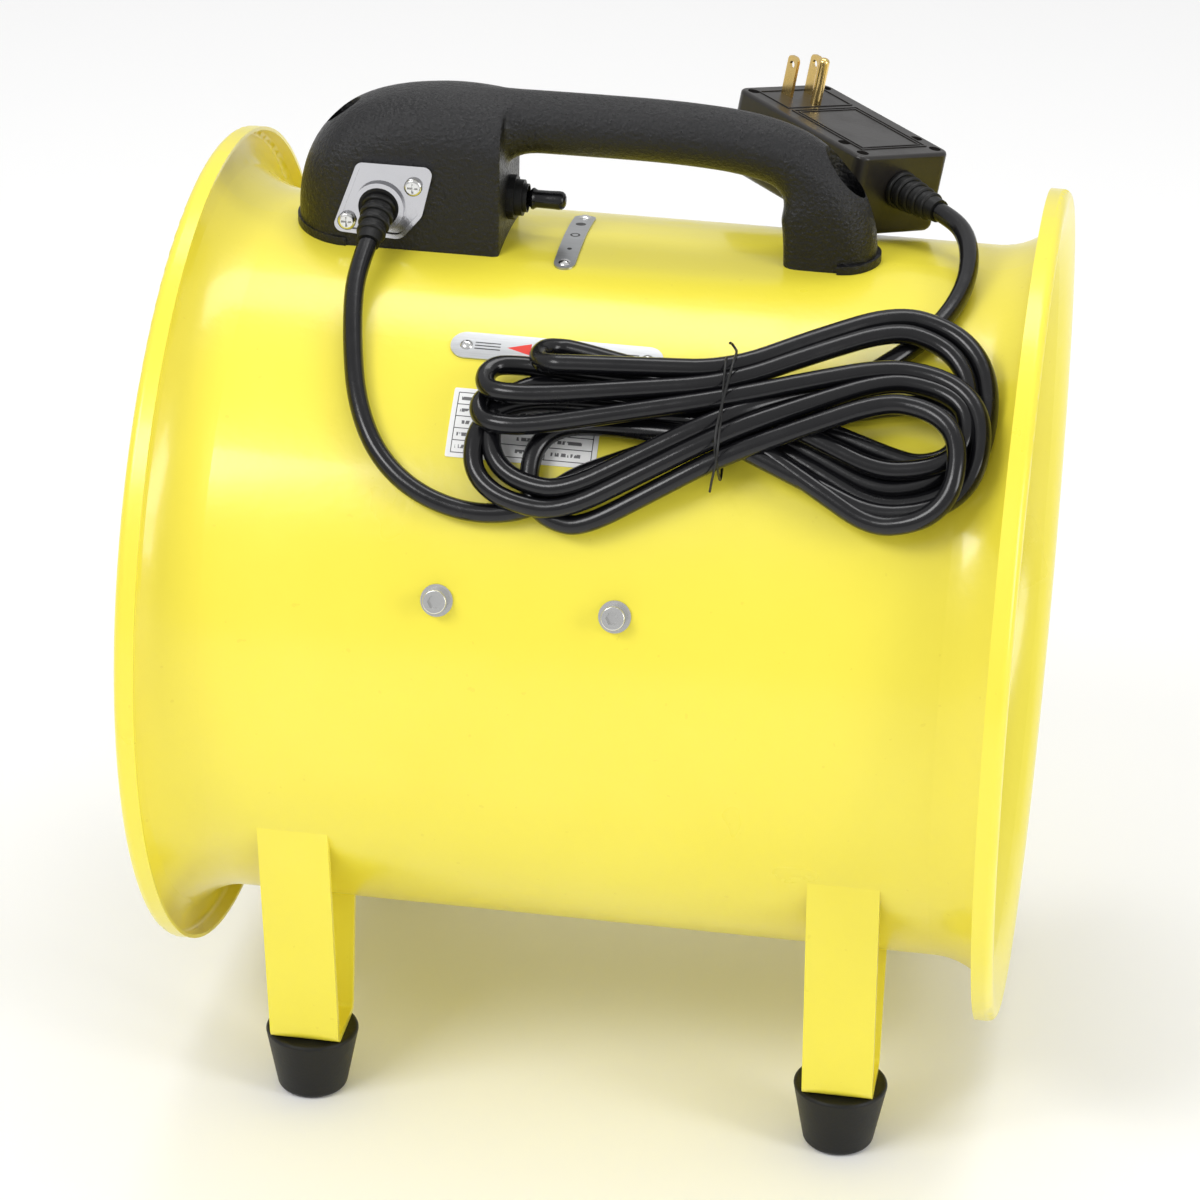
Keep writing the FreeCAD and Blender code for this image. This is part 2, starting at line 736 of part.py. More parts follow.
def direction_rivet_places():
    reach = direction_plate_length / 2.0 - direction_plate_width / 2.0
    return [direction_plate_x - reach, direction_plate_x + reach]


def direction_plate_rivets():
    rivets = [plate_rivet(top(x, 0, barrel_outer + plate_thickness)) for x in direction_rivet_places()]
    return group([around(rivet, direction_plate_angle) for rivet in rivets])


def switch_plate():
    plate = skin_patch(stadium(switch_plate_length, switch_plate_width,
                               lambda u, v: top(switch_plate_x + v, u, 0)), plate_thickness)
    for angle in switch_rivet_angles():
        plate = plate.cut(around(cylinder(rivet_radius, 20.0, top(switch_plate_x, 0, barrel_outer - 5.0)),
                                 angle))
    return plate


def switch_rivet_angles():
    reach = (switch_plate_length - switch_plate_width) / 2.0
    turn = math.degrees(math.asin(reach / (barrel_outer + plate_thickness)))
    return [-turn, turn]


def rivet_places():
    """Every rivet of the two plates, as (x, angle down the flank)."""
    places = [(x, direction_plate_angle) for x in direction_rivet_places()]
    return places + [(switch_plate_x, angle) for angle in switch_rivet_angles()]


def switch_plate_rivets():
    rivet = plate_rivet(top(switch_plate_x, 0, barrel_outer + plate_thickness))
    return group([around(rivet, angle) for angle in switch_rivet_angles()])


def rating_label():
    half_x, half_y = rating_label_length / 2.0, rating_label_width / 2.0
    corners = [(-half_x, -half_y, 0.8), (half_x, -half_y, 0.8), (half_x, half_y, 0.8),
               (-half_x, half_y, 0.8)]
    outline = rounded_line(corners, lambda u, v: top(rating_label_x + u, v, 0), True)
    return around(skin_patch(Part.Face(outline), label_thickness), rating_label_angle)


# --- motor ---------------------------------------------------------------------------

def tube(outer, inner, length, start):
    return cylinder(outer, length, start, ALONG).cut(cylinder(inner, length, start, ALONG))


def motor_left():
    return motor_x - motor_length / 2.0


def through_bolt_places():
    return [45.0 + 90.0 * i for i in range(4)]


def through_holes(radius):
    return [around(cylinder(radius, 2.0 * motor_length,
                            top(motor_x - motor_length, 0, through_bolt_circle), ALONG),
                   angle) for angle in through_bolt_places()]


def motor_shell():
    shell = tube(motor_radius, motor_radius - motor_wall, motor_length, top(motor_left(), 0, 0))
    gland_hole = cylinder(inner_lead_diameter / 2.0, 10.0, top(motor_gland_x, 0, motor_radius - 5.0))
    gland = cylinder(inner_lead_diameter / 2.0 + 3.0, motor_gland_height + motor_wall,
                     top(motor_gland_x, 0, motor_radius - motor_wall))
    return shell.fuse(gland).cut(gland_hole)


def stator_core():
    core = tube(motor_radius - motor_wall, rotor_radius + air_gap, stator_length,
                top(motor_x - stator_length / 2.0, 0, 0))
    return core.cut(through_holes(through_bolt_radius + 0.3))


def stator_windings():
    rings = []
    for side in (-1, 1):
        inner, outer, depth = rotor_radius + 5.0, through_bolt_circle - 5.0, 15.0
        start = motor_x + side * stator_length / 2.0 - (depth if side < 0 else 0.0)
        ring = tube(outer, inner, depth, top(start, 0, 0))
        far = [e for e in ring.Edges
               if e.Closed and abs(e.BoundBox.Center.x - motor_x) > stator_length / 2.0 + 1.0]
        rings.append(ring.makeFillet(3.5, far))
    return group(rings)


def end_bell(side):
    """Cast cover of the motor: a disc with a bearing pocket, round at its rim."""
    inner_face = motor_x + side * motor_length / 2.0
    flange_start = inner_face if side > 0 else inner_face - bell_thickness
    disc = cylinder(motor_radius, bell_thickness, top(flange_start, 0, 0), ALONG)
    outside = [e for e in disc.Edges
               if e.Closed and abs(e.BoundBox.Center.x - motor_x) > motor_length / 2.0 + 1.0]
    disc = disc.makeFillet(2.0, outside)
    boss_depth = bearing_width + 3.0
    boss_start = inner_face - boss_depth if side > 0 else inner_face
    boss = cylinder(bearing_outer_radius + 4.0, boss_depth, top(boss_start, 0, 0), ALONG)
    pocket_start = boss_start if side > 0 else inner_face + boss_depth - bearing_width
    pocket = cylinder(bearing_outer_radius, bearing_width, top(pocket_start, 0, 0), ALONG)
    bell = disc.fuse(boss).cut(pocket).cut(through_holes(through_bolt_radius))
    return bell.cut(cylinder(shaft_diameter / 2.0 + 1.0, 60.0, top(inner_face - 30.0, 0, 0), ALONG))


def bearing(side):
    inner_face = motor_x + side * motor_length / 2.0
    boss_depth = bearing_width + 3.0
    start = inner_face - boss_depth if side > 0 else inner_face + boss_depth - bearing_width
    ring = tube(bearing_outer_radius, shaft_diameter / 2.0 + running_clearance, bearing_width,
                top(start, 0, 0))
    mid = (bearing_outer_radius + shaft_diameter / 2.0) / 2.0
    for x in (start, start + bearing_width - 1.0):
        ring = ring.cut(tube(mid + 2.0, mid - 2.0, 1.0, top(x, 0, 0)))
    return ring


def through_bolts():
    reach = motor_length + 2.0 * bell_thickness
    bolts = []
    for angle in through_bolt_places():
        start = top(motor_left() - bell_thickness, 0, through_bolt_circle)
        rod = cylinder(through_bolt_radius - 0.1, reach, start, ALONG)
        heads = [hexagon(8.0, 3.5, start, V(-1, 0, 0)), hexagon(8.0, 3.5, start + V(reach, 0, 0), ALONG)]
        bolts.append(around(rod.fuse(heads), angle))
    return group(bolts)


def motor_shaft():
    start = motor_left() + 1.5
    end = fan_x + hub_length / 2.0 + 12.0
    return cylinder(shaft_diameter / 2.0, end - start, top(start, 0, 0), ALONG)


def rotor_core():
    core = tube(rotor_radius, shaft_diameter / 2.0, stator_length, top(motor_x - stator_length / 2.0, 0, 0))
    for side in (-1, 1):
        start = motor_x + side * (stator_length / 2.0 + 3.0) - 3.0
        core = core.fuse(tube(rotor_radius - 3.0, rotor_radius - 12.0, 6.0, top(start, 0, 0)))
    return core


def strut(angle):
    """Channel bent from sheet: its legs are welded to the motor and its web bolts to the barrel."""
    web_mid = math.sqrt(barrel_inner ** 2 - (strut_width / 2.0) ** 2) - strut_thickness / 2.0 - 0.1
    half = strut_width / 2.0 - strut_thickness / 2.0
    bend = strut_thickness
    rise = web_mid - (motor_radius - 6.0) - bend
    moves = [rise, (bend, -90), 2.0 * (half - bend), (bend, -90), rise]
    face = strip((-half, motor_radius - 6.0), 90, moves, strut_thickness,
                 lambda y, z: top(motor_x - strut_length / 2.0, y, z))
    channel = face.extrude(V(strut_length, 0, 0))
    channel = channel.cut(cylinder(motor_radius, motor_length * 2.0, top(motor_x - motor_length, 0, 0),
                                   ALONG))
    for side in (-1, 1):
        channel = channel.cut(cylinder(strut_bolt * 0.55, 20.0,
                                       top(motor_x + side * strut_bolt_spacing / 2.0, 0, web_mid - 10.0)))
    return around(channel, angle)


def strut_fasteners():
    web_inside = math.sqrt(barrel_inner ** 2 - (strut_width / 2.0) ** 2) - strut_thickness - 0.1
    pieces = []
    for x, angle in strut_bolt_places():
        seat = barrel_outer + strut_bolt * 0.22
        length = seat - web_inside + strut_bolt
        pieces.append(around(washer(strut_bolt, top(x, 0, barrel_outer)), angle))
        pieces.append(around(socket_screw(strut_bolt, length, top(x, 0, seat), UP), angle))
        pieces.append(around(nut(strut_bolt, top(x, 0, web_inside), V(0, 0, -1)), angle))
    return group(pieces)


def run_capacitor():
    can = cylinder(capacitor_radius, capacitor_length, capacitor_start(), ALONG)
    rims = [e for e in can.Edges if e.Closed]
    can = can.makeFillet(2.5, rims)
    caps = [Part.makeBox(7.0, 1.0, 6.0, capacitor_start() + V(-6.5, y - 0.5, -3.0)) for y in (-5.0, 5.0)]
    return around(can.fuse(caps), capacitor_angle)


def capacitor_start():
    return top(motor_x - capacitor_length / 2.0, 0, motor_radius + capacitor_radius + 1.5)


def capacitor_clip():
    """Band round the capacitor, standing on the motor."""
    start = capacitor_start() + V(capacitor_length / 2.0 - 8.0, 0, 0)
    band = tube(capacitor_radius + 1.5, capacitor_radius, 16.0, start)
    foot = Part.makeBox(16.0, 18.0, 6.0, top(start.x, -9.0, motor_radius - 2.0))
    foot = foot.cut(cylinder(capacitor_radius, 16.0, start, ALONG))
    clip = band.fuse(foot).cut(cylinder(motor_radius, 200.0, top(motor_x - 100.0, 0, 0), ALONG))
    return around(clip, capacitor_angle)


# --- fan wheel -----------------------------------------------------------------------

def blade_section(radius, chord, pitch, camber):
    """Thin curved section across a blade, seen from the tip."""
    lean = math.radians(pitch)
    half = blade_thickness / 2.0
    forward = V(math.sin(lean), math.cos(lean), 0)
    normal = V(math.cos(lean), -math.sin(lean), 0)
    centre = top(fan_x, 0, radius)

    def at(along, out):
        return centre + forward * along + normal * out

    upper = Part.Arc(at(-chord / 2.0, half * 0.5), at(0, camber + half),
                     at(chord / 2.0, half * 0.5)).toShape()
    lower = Part.Arc(at(-chord / 2.0, -half * 0.5), at(0, camber - half),
                     at(chord / 2.0, -half * 0.5)).toShape()
    ends = [line(at(side * chord / 2.0, half * 0.5), at(side * chord / 2.0, -half * 0.5)) for side in (-1,
                                                                                                       1)]
    return Part.Wire(Part.__sortEdges__([upper, lower] + ends))


def fan_blade():
    tip = barrel_inner - fan_tip_gap
    stations = ((hub_radius - 6.0, 52.0, 44.0, 6.0), (hub_radius * 0.5 + tip * 0.5, 74.0, 32.0, 7.0),
                (tip + 4.0, 92.0, 24.0, 6.0))
    blade = Part.makeLoft([blade_section(*station) for station in stations], True)
    long_bar = cylinder(tip, 200.0, top(fan_x - 100.0, 0, 0), ALONG)
    return blade.common(long_bar).cut(cylinder(hub_radius - hub_wall / 2.0, 200.0,
                                               top(fan_x - 100.0, 0, 0), ALONG))


def fan_wheel():
    left = fan_x - hub_length / 2.0
    hub = cylinder(hub_radius, hub_length, top(left, 0, 0), ALONG)
    nose = [e for e in hub.Edges if e.Closed and e.BoundBox.XMin > left + hub_length - 1.0]
    hub = hub.makeFillet(8.0, nose)
    hub = hub.cut(cylinder(hub_radius - hub_wall, hub_length - hub_wall * 1.5, top(left, 0, 0), ALONG))
    hub = hub.fuse(cylinder(shaft_diameter / 2.0 + 7.0, hub_length - 6.0, top(left + 6.0, 0, 0), ALONG))
    blade = fan_blade()
    hub = hub.fuse([around(blade, 360.0 / blade_count * i) for i in range(blade_count)])
    return hub.cut(cylinder(shaft_diameter / 2.0, 200.0, top(left - 50.0, 0, 0), ALONG))


def fan_nut():
    start = fan_x + hub_length / 2.0
    flat = hexagon(24.0, 10.0, top(start, 0, 0), ALONG)
    return flat.cut(cylinder(shaft_diameter / 2.0, 40.0, top(start - 5.0, 0, 0), ALONG))


# --- guards --------------------------------------------------------------------------

def guard(side):
    """Wire grille: rings round the axis on radial spokes, with a small disc in the middle."""
    middle = side * guard_x
    outer = barrel_inner - guard_wall_gap
    spoke_x = middle - side * (guard_wire + guard_spoke) / 2.0 * 0.8
    disc_start = middle - 1.5
    body = cylinder(16.0, 3.0, top(disc_start, 0, 0), ALONG)
    pieces = []
    for i in range(guard_rings):
        ring = Part.makeTorus(outer - i * guard_ring_step, guard_wire / 2.0, top(middle, 0, 0), ALONG)
        pieces.append(around(ring, 11.0))
    for i in range(guard_spokes):
        spoke = cylinder(guard_spoke / 2.0, outer - 9.3, top(spoke_x, 0, 10.0))
        pieces.append(around(spoke, 360.0 / guard_spokes * i))
    return body.fuse(pieces)


def guard_tab_places():
    return [(side, 22.5 + 360.0 / guard_clip_count * i) for side in (-1,
                                                                     1) for i in range(guard_clip_count)]


def guard_screw_height():
    return barrel_inner - guard_wall_gap - guard_wire / 2.0 - guard_screw / 2.0 - 0.5


def guard_clips():
    """Tabs welded inside the barrel, one behind each screw of the wire guards."""
    tabs = []
    leg = barrel_inner - guard_screw_height() + 2.0
    for side, angle in guard_tab_places():
        face_x = guard_x - guard_wire / 2.0 - tab_thickness / 2.0
        foot = (face_x - tab_bend - tab_foot, barrel_inner - tab_thickness / 2.0 - 0.4)
        face = strip(foot, 0, [tab_foot, (tab_bend, -90), leg], tab_thickness,
                     lambda x, r: top(side * x, -tab_width / 2.0, r))
        tab = face.extrude(V(0, tab_width, 0))
        hole = cylinder(guard_screw * 0.55, 20.0, top(side * face_x - 10.0, 0, guard_screw_height()), ALONG)
        tabs.append(around(tab.cut(hole), angle))
    return group(tabs)


def guard_screws():
    pieces = []
    for side, angle in guard_tab_places():
        out = V(side, 0, 0)
        front = top(side * (guard_x + guard_wire / 2.0), 0, guard_screw_height())
        back = top(side * (guard_x - guard_wire / 2.0 - tab_thickness), 0, guard_screw_height())
        disc = cylinder(guard_screw * 1.6, 1.2, front,
                        out).cut(cylinder(guard_screw * 0.54, 1.2, front, out))
        pieces.append(around(disc, angle))
        pieces.append(around(cross_screw(guard_screw, 14.0, front + out * 1.2, out), angle))
        pieces.append(around(nut(guard_screw, back, out * -1.0), angle))
    return group(pieces)


# --- plug ----------------------------------------------------------------------------

def on_plug(shape):
    placed = shape.copy()
    placed.Placement = FreeCAD.Placement(plug_centre, plug_turn).multiply(placed.Placement)
    return placed


def plug_screw_places():
    x_end = plug_length / 2.0 - 5.5
    y_side = plug_width / 2.0 - 5.0
    return [(x, side * y_side) for x in (-x_end, x_end - 12.5, x_end) for side in (-1, 1)]


def plug_block(length, width, low, high):
    return rounded_box(length, width, high - low, V(0, 0, low), 5.0)


def plug_front():
    block = plug_block(plug_length, plug_width, -plug_front_thickness, 0.0)
    block = block.makeFillet(1.6, [e for e in block.Edges if e.BoundBox.ZMin > -0.01])
    inner = rounded_box(plug_length - 2.0 * plug_wall, plug_width - 2.0 * plug_wall,
                        plug_front_thickness - plug_wall, V(0, 0, -plug_front_thickness), 3.0)
    block = block.cut(inner)
    for x, y in plug_screw_places():
        post = cylinder(4.2, plug_front_thickness - 1.0, V(x, y, -plug_front_thickness))
        block = block.fuse(post.common(plug_block(plug_length - 1, plug_width - 1, -plug_front_thickness,
                                                  -1.0)))
        block = block.cut(cylinder(2.6, 5.0, V(x, y, -3.5)))
        block = block.cut(cylinder(1.5, 30.0, V(x, y, -20.0)))
    for prong in prong_bodies():
        block = block.cut(prong)
    return on_plug(block.cut(relief_root(8.0)))


def plug_back():
    low = -plug_thickness
    block = plug_block(plug_length, plug_width, low, -plug_front_thickness)
    under = [e for e in block.Edges if e.BoundBox.ZMax < low + 0.01]
    block = block.makeFillet(4.0, under)
    inner = rounded_box(plug_length - 2.0 * plug_wall, plug_width - 2.0 * plug_wall,
                        plug_thickness - plug_front_thickness - plug_wall, V(0, 0, low + plug_wall), 3.0)
    block = block.cut(inner)
    for x, y in plug_screw_places():
        post = cylinder(4.2, plug_thickness - plug_front_thickness - 2.0, V(x, y, low + 2.0))
        block = block.fuse(post.common(plug_block(plug_length - 3.0, plug_width - 3.0, low,
                                                  -plug_front_thickness)))
        block = block.cut(cylinder(1.2, 14.0, V(x, y, -plug_front_thickness - 14.0)))
    for x in button_places():
        block = block.cut(rounded_box(button_size[0] + 0.8, button_size[1] + 0.8, 10.0, V(x, 0, low - 5.0),
                                      1.4))
    return on_plug(block.cut(relief_root(8.0)))


def plug_screws():
    return group([on_plug(cross_screw(2.4, 16.0, V(x, y, -3.5), UP)) for x, y in plug_screw_places()])


def prong_bodies():
    blades = []
    for side in (-1, 1):
        blade = Part.makeBox(6.35, 1.5, blade_length + 8.0,
                             V(prong_x - 3.175, side * blade_spacing / 2.0 - 0.75, -8.0))
        tips = [e for e in blade.Edges if e.BoundBox.ZMin > blade_length - 0.1 and e.BoundBox.YLength > 1.0
                and e.BoundBox.XLength < 0.1]
        blade = blade.makeFillet(2.2, tips)
        hole = cylinder(1.6, 6.0, V(prong_x, side * blade_spacing / 2.0 - 3.0, blade_length - 3.8),
                        V(0, 1, 0))
        blades.append(blade.cut(hole))
    pin = cylinder(2.4, pin_length + 8.0, V(prong_x + 11.9, 0, -8.0))
    blades.append(pin.makeFillet(1.9,
                                 [e for e in pin.Edges if e.BoundBox.ZMin > pin_length - 0.1 and e.Closed]))
    return blades


def plug_prongs():
    return group([on_plug(prong) for prong in prong_bodies()])


def relief_root(length):
    """The sleeve's root in the plug's end wall."""
    return cylinder(7.0, length, V(plug_length / 2.0 - 6.0, 0, plug_relief_depth), ALONG)


def plug_strain_relief():
    sleeve = ribbed_sleeve(plug_relief_length, 8.2, cord_diameter / 2.0 + cord_grip_wall, 5)
    sleeve.Placement = FreeCAD.Placement(V(plug_length / 2.0, 0, plug_relief_depth),
                                         FreeCAD.Rotation(UP, ALONG))
    return on_plug(sleeve.fuse(relief_root(6.0)))


def plug_circuit():
    board = Part.makeBox(plug_length - 22.0, 26.0, 1.6, V(-plug_length / 2.0 + 10.0, -13.0, -18.0))
    relay = Part.makeBox(20.0, 15.0, 9.0, V(-4.0, -7.5, -27.0))
    coil = cylinder(7.0, 6.0, V(22.0, 0, -24.0)).cut(cylinder(3.0, 6.0, V(22.0, 0, -24.0)))
    return on_plug(board.fuse([relay, coil]))


def button_places():
    return (-24.0, -6.0)


def plug_button(x):
    cap = rounded_box(button_size[0], button_size[1], 5.0, V(x, 0, -plug_thickness - 0.8), 1.0)
    return on_plug(cap)


# --- hank ----------------------------------------------------------------------------

def cord_hank():
    """Outer shape of the tied figure of eight that lies on the barrel's near flank."""
    far = barrel_outer + 60.0

    def lobe(x, across, half_length, half_width):
        shape = Part.Ellipse(V(0, 0, 0), max(half_length, half_width),
                             min(half_length, half_width)).toShape()
        face = Part.Face(Part.Wire(shape))
        turn = 0.0 if half_length >= half_width else 90.0
        face.Placement = FreeCAD.Placement(top(x, across, 0), FreeCAD.Rotation(UP, turn))
        return face.extrude(V(0, 0, far))

    waist = [(28.0, -40.0), (tie_x - 6.0, -25.0), (tie_x + 8.0, -22.0), (96.0, -38.0),
             (96.0, 36.0), (tie_x + 2.0, 19.0), (tie_x - 8.0, 18.0), (28.0, 22.0)]
    corners = [top(x, y, 0) for x, y in waist]
    band = Part.Face(Part.makePolygon(corners + corners[:1])).extrude(V(0, 0, far))
    outline = lobe(8.0, -11.0, 53.0, 38.0).fuse(lobe(112.0, 2.0, 50.0, 45.0)).fuse(band)
    ends = top(-barrel_length / 2.0, 0, 0)
    shell = cylinder(hank_outer, barrel_length, ends,
                     ALONG).cut(cylinder(hank_inner, barrel_length, ends, ALONG))
    return around(outline.common(shell).removeSplitter(), hank_angle)


def cord_tie():
    """Wire twisted round the waist of the hank."""
    low = barrel_outer + tie_wire / 2.0 + 0.3
    high = hank_outer + tie_wire / 2.0
    corners = [(-26.0, low, 6.0), (21.0, low, 6.0), (21.0, high, 6.0), (-26.0, high, 6.0)]
    path = rounded_line(corners, lambda y, z: top(tie_x, y, z), True)
    start = path.Edges[0].valueAt(path.Edges[0].FirstParameter)
    way = path.Edges[0].tangentAt(path.Edges[0].FirstParameter)
    ring = path.makePipeShell([Part.Wire(Part.makeCircle(tie_wire / 2.0, start, way))], True, False)
    return around(ring, hank_angle)


NODES = {
    "barrel": barrel(),
    "handle": handle(),
    "handle_fasteners": handle_fasteners(),
    "switch_body": switch_body(),
    "toggle_nut": toggle_nut(),
    "toggle_lever": toggle_lever(),
    "relief_plate": relief_plate(),
    "relief_plate_screws": relief_plate_screws(),
    "cord_strain_relief": cord_strain_relief(),
    "switch_plate": switch_plate(),
    "switch_plate_rivets": switch_plate_rivets(),
    "direction_plate": direction_plate(),
    "direction_plate_rivets": direction_plate_rivets(),
    "rating_label": rating_label(),
    "motor_lead": inner_lead(),
    "lead_grommet": lead_grommet(),
    "motor_shell": motor_shell(),
    "stator_core": stator_core(),
    "stator_windings": stator_windings(),
    "motor_front_bell": end_bell(1),
    "motor_rear_bell": end_bell(-1),
    "front_bearing": bearing(1),
    "rear_bearing": bearing(-1),
    "motor_through_bolts": through_bolts(),
    "motor_shaft": motor_shaft(),
    "rotor_core": rotor_core(),
    "run_capacitor": run_capacitor(),
    "capacitor_clip": capacitor_clip(),
    "strut_fasteners": strut_fasteners(),
    "fan_wheel": fan_wheel(),
    "fan_nut": fan_nut(),
    "left_guard": guard(-1),
    "right_guard": guard(1),
    "guard_clips": guard_clips(),
    "guard_screws": guard_screws(),
    "plug_front": plug_front(),
    "plug_back": plug_back(),
    "plug_screws": plug_screws(),
    "plug_prongs": plug_prongs(),
    "plug_circuit": plug_circuit(),
    "plug_strain_relief": plug_strain_relief(),
    "test_button": plug_button(button_places()[0]),
    "reset_button": plug_button(button_places()[1]),
    "cord_handle_lead": cord_tube(handle_lead, cord_diameter, "handle lead"),
    "cord_plug_lead": cord_tube(plug_lead, cord_diameter, "plug lead"),
    "cord_hank": cord_hank(),
    "cord_tie": cord_tie(),
}
for name, place in foot_places().items():
    NODES["leg_bracket_" + name] = leg_bracket(place)
    NODES["rubber_foot_" + name] = rubber_foot(place)
NODES["foot_fasteners"] = foot_fasteners()
for name, angle in zip(("near", "far", "bottom"), strut_angles):
    NODES["motor_strut_" + name] = strut(angle)

os.makedirs("parts", exist_ok=True)
for name, shape in NODES.items():
    shape.exportStep("parts/" + name + ".step")
    box = shape.optimalBoundingBox()
    print("%-24s" % name, shape.isValid(), len(shape.Solids), "%8.1f cm3" % (shape.Volume / 1000.0),
          "x %.1f %.1f y %.1f %.1f z %.1f %.1f" % (box.XMin, box.XMax, box.YMin, box.YMax, box.ZMin,
                                                   box.ZMax))
print(len(NODES), "nodes")
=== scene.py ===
# %% [markdown]
# # A portable tube-axial air mover
#
# This notebook dresses a yellow ducted blower: a steel barrel on four strap legs, a
# moulded handle with a toggle switch, a fan and motor inside, and a mains cord tied in a
# figure of eight. The solid model is loaded first and never moved. Each cell then adds
# one piece or one finish, in metres, in the solid model's own frame: the floor is at
# z = 0, +X runs along the barrel towards the fan and -Y faces the cord side.

# %% Load the solid model
import json
import math

import bpy
from mathutils import Matrix, Vector


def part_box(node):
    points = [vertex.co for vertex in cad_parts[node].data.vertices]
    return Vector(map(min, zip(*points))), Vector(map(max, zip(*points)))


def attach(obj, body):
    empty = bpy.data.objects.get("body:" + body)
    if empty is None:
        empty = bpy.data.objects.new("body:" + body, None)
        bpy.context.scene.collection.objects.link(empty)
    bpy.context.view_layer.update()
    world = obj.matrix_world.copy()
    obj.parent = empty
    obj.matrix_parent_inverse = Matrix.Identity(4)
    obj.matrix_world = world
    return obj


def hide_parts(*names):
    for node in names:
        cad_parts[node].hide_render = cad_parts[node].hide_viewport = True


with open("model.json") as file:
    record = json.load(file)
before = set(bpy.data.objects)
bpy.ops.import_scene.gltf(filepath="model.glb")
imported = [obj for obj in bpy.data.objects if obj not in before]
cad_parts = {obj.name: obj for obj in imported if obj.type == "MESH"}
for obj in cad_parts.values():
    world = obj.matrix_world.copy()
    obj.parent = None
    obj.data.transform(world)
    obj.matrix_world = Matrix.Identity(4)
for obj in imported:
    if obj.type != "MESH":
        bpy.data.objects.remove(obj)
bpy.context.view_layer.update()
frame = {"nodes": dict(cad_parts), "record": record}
nodes = frame["nodes"]
mm = 0.001


# %% [markdown]
# The barrel is the datum for nearly everything: plates, cord and handle all sit on it. Its
# size could be typed in again, but reading its axis height from the loaded node keeps one
# source. The sheet's outer radius is typed in, because the box only shows the wider rims.

# %% Datum values read from the barrel
barrel_low, barrel_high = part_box("barrel")
axis_height = (barrel_low.z + barrel_high.z) / 2
barrel_outer = 151.5 * mm


def on_flank(x, down, height):
    """Point on the near flank: down is the angle from the top, height from the axis."""
    return Vector((x, -height * math.sin(down), axis_height + height * math.cos(down)))


print("axis height %.4f m" % axis_height)


# %% [markdown]
# The main view looks down at the cord side from a little to the right of square, with a
# long lens that keeps the rims nearly parallel. A matrix could place the camera, but
# azimuth, elevation, roll and distance from a target near the barrel's middle are values
# that a person can read and change one at a time.

# %% Camera
def place_camera(azimuth, elevation, roll, distance, target, lens):
    a, e, r = (math.radians(angle) for angle in (azimuth, elevation, roll))
    back = Vector((math.sin(a) * math.cos(e), -math.cos(a) * math.cos(e), math.sin(e)))
    level = Vector((math.cos(a), math.sin(a), 0))
    steep = back.cross(level)
    right = level * math.cos(r) + steep * math.sin(r)
    data = bpy.data.cameras.new("camera")
    data.lens = lens
    data.sensor_width = 36.0
    camera = bpy.data.objects.new("camera", data)
    turn = Matrix((right, back.cross(right), back)).transposed().to_4x4()
    camera.matrix_world = Matrix.Translation(Vector(target) + back * distance) @ turn
    bpy.context.scene.collection.objects.link(camera)
    bpy.context.scene.camera = camera
    return camera


camera = place_camera(azimuth=8.84, elevation=26.49, roll=1.31, distance=1.9179,
                      target=(-0.0079, -0.0075, 0.1996), lens=133.53)
print("camera at", [round(c, 3) for c in camera.matrix_world.translation])


# %% [markdown]
# The mains cord is one length of round rubber flex. It leaves the sleeve on the handle,
# hangs down the barrel's flank, is wound in a figure of eight with six turns, and climbs
# back to the plug. The turns could be a neat stack, but a hand-wound hank is uneven: every
# turn has its own lobe sizes, given in one short table, while a loop works out the points.
# A point of the hank is (along the barrel, down the flank, layer), where a layer is one
# cord's thickness off the barrel.

# %% The cord's two free leads
cord_diameter = 8.0 * mm
handle_lead = [
    (-101.8, -43.5, 371.1), (-103.4, -55.5, 364.6), (-102.6, -69.5, 356.0),
    (-98.6, -88.5, 342.2), (-93.3, -105.3, 328.6), (-84.3, -118.4, 315.2),
    (-71.3, -127.0, 305.0), (-54.9, -131.8, 298.4), (-36.2, -133.4, 295.9),
    (-17.0, -131.2, 299.2),
]
plug_lead = [
    (125.1, 24.9, 378.1), (133.4, 16.6, 377.4), (139.4, 4.9, 375.1), (142.3, -10.5, 371.7),
    (142.2, -27.0, 367.2), (138.2, -44.5, 362.3), (130.2, -60.6, 357.0), (119.0, -72.6, 351.6),
]
print("points", len(handle_lead), len(plug_lead))

# %% The hank's turns
hank_angle = math.radians(41.0)
flank_arc = 160.0 * mm
layer_step = 8.2 * mm
lying_gap = 0.4 * mm
first_layer = barrel_outer + cord_diameter / 2 + lying_gap
tie_x = 56.0
right_middle = 118.0
# A B-spline runs inside its polygon, so the lobes' points stand out by this share.
outset = 1.04
# Below 1 this makes a lobe squarer than an ellipse.
lobe_power = 0.82
# A lobe whose half width is under this gets a half-round tip.
narrow_lobe = 16.0

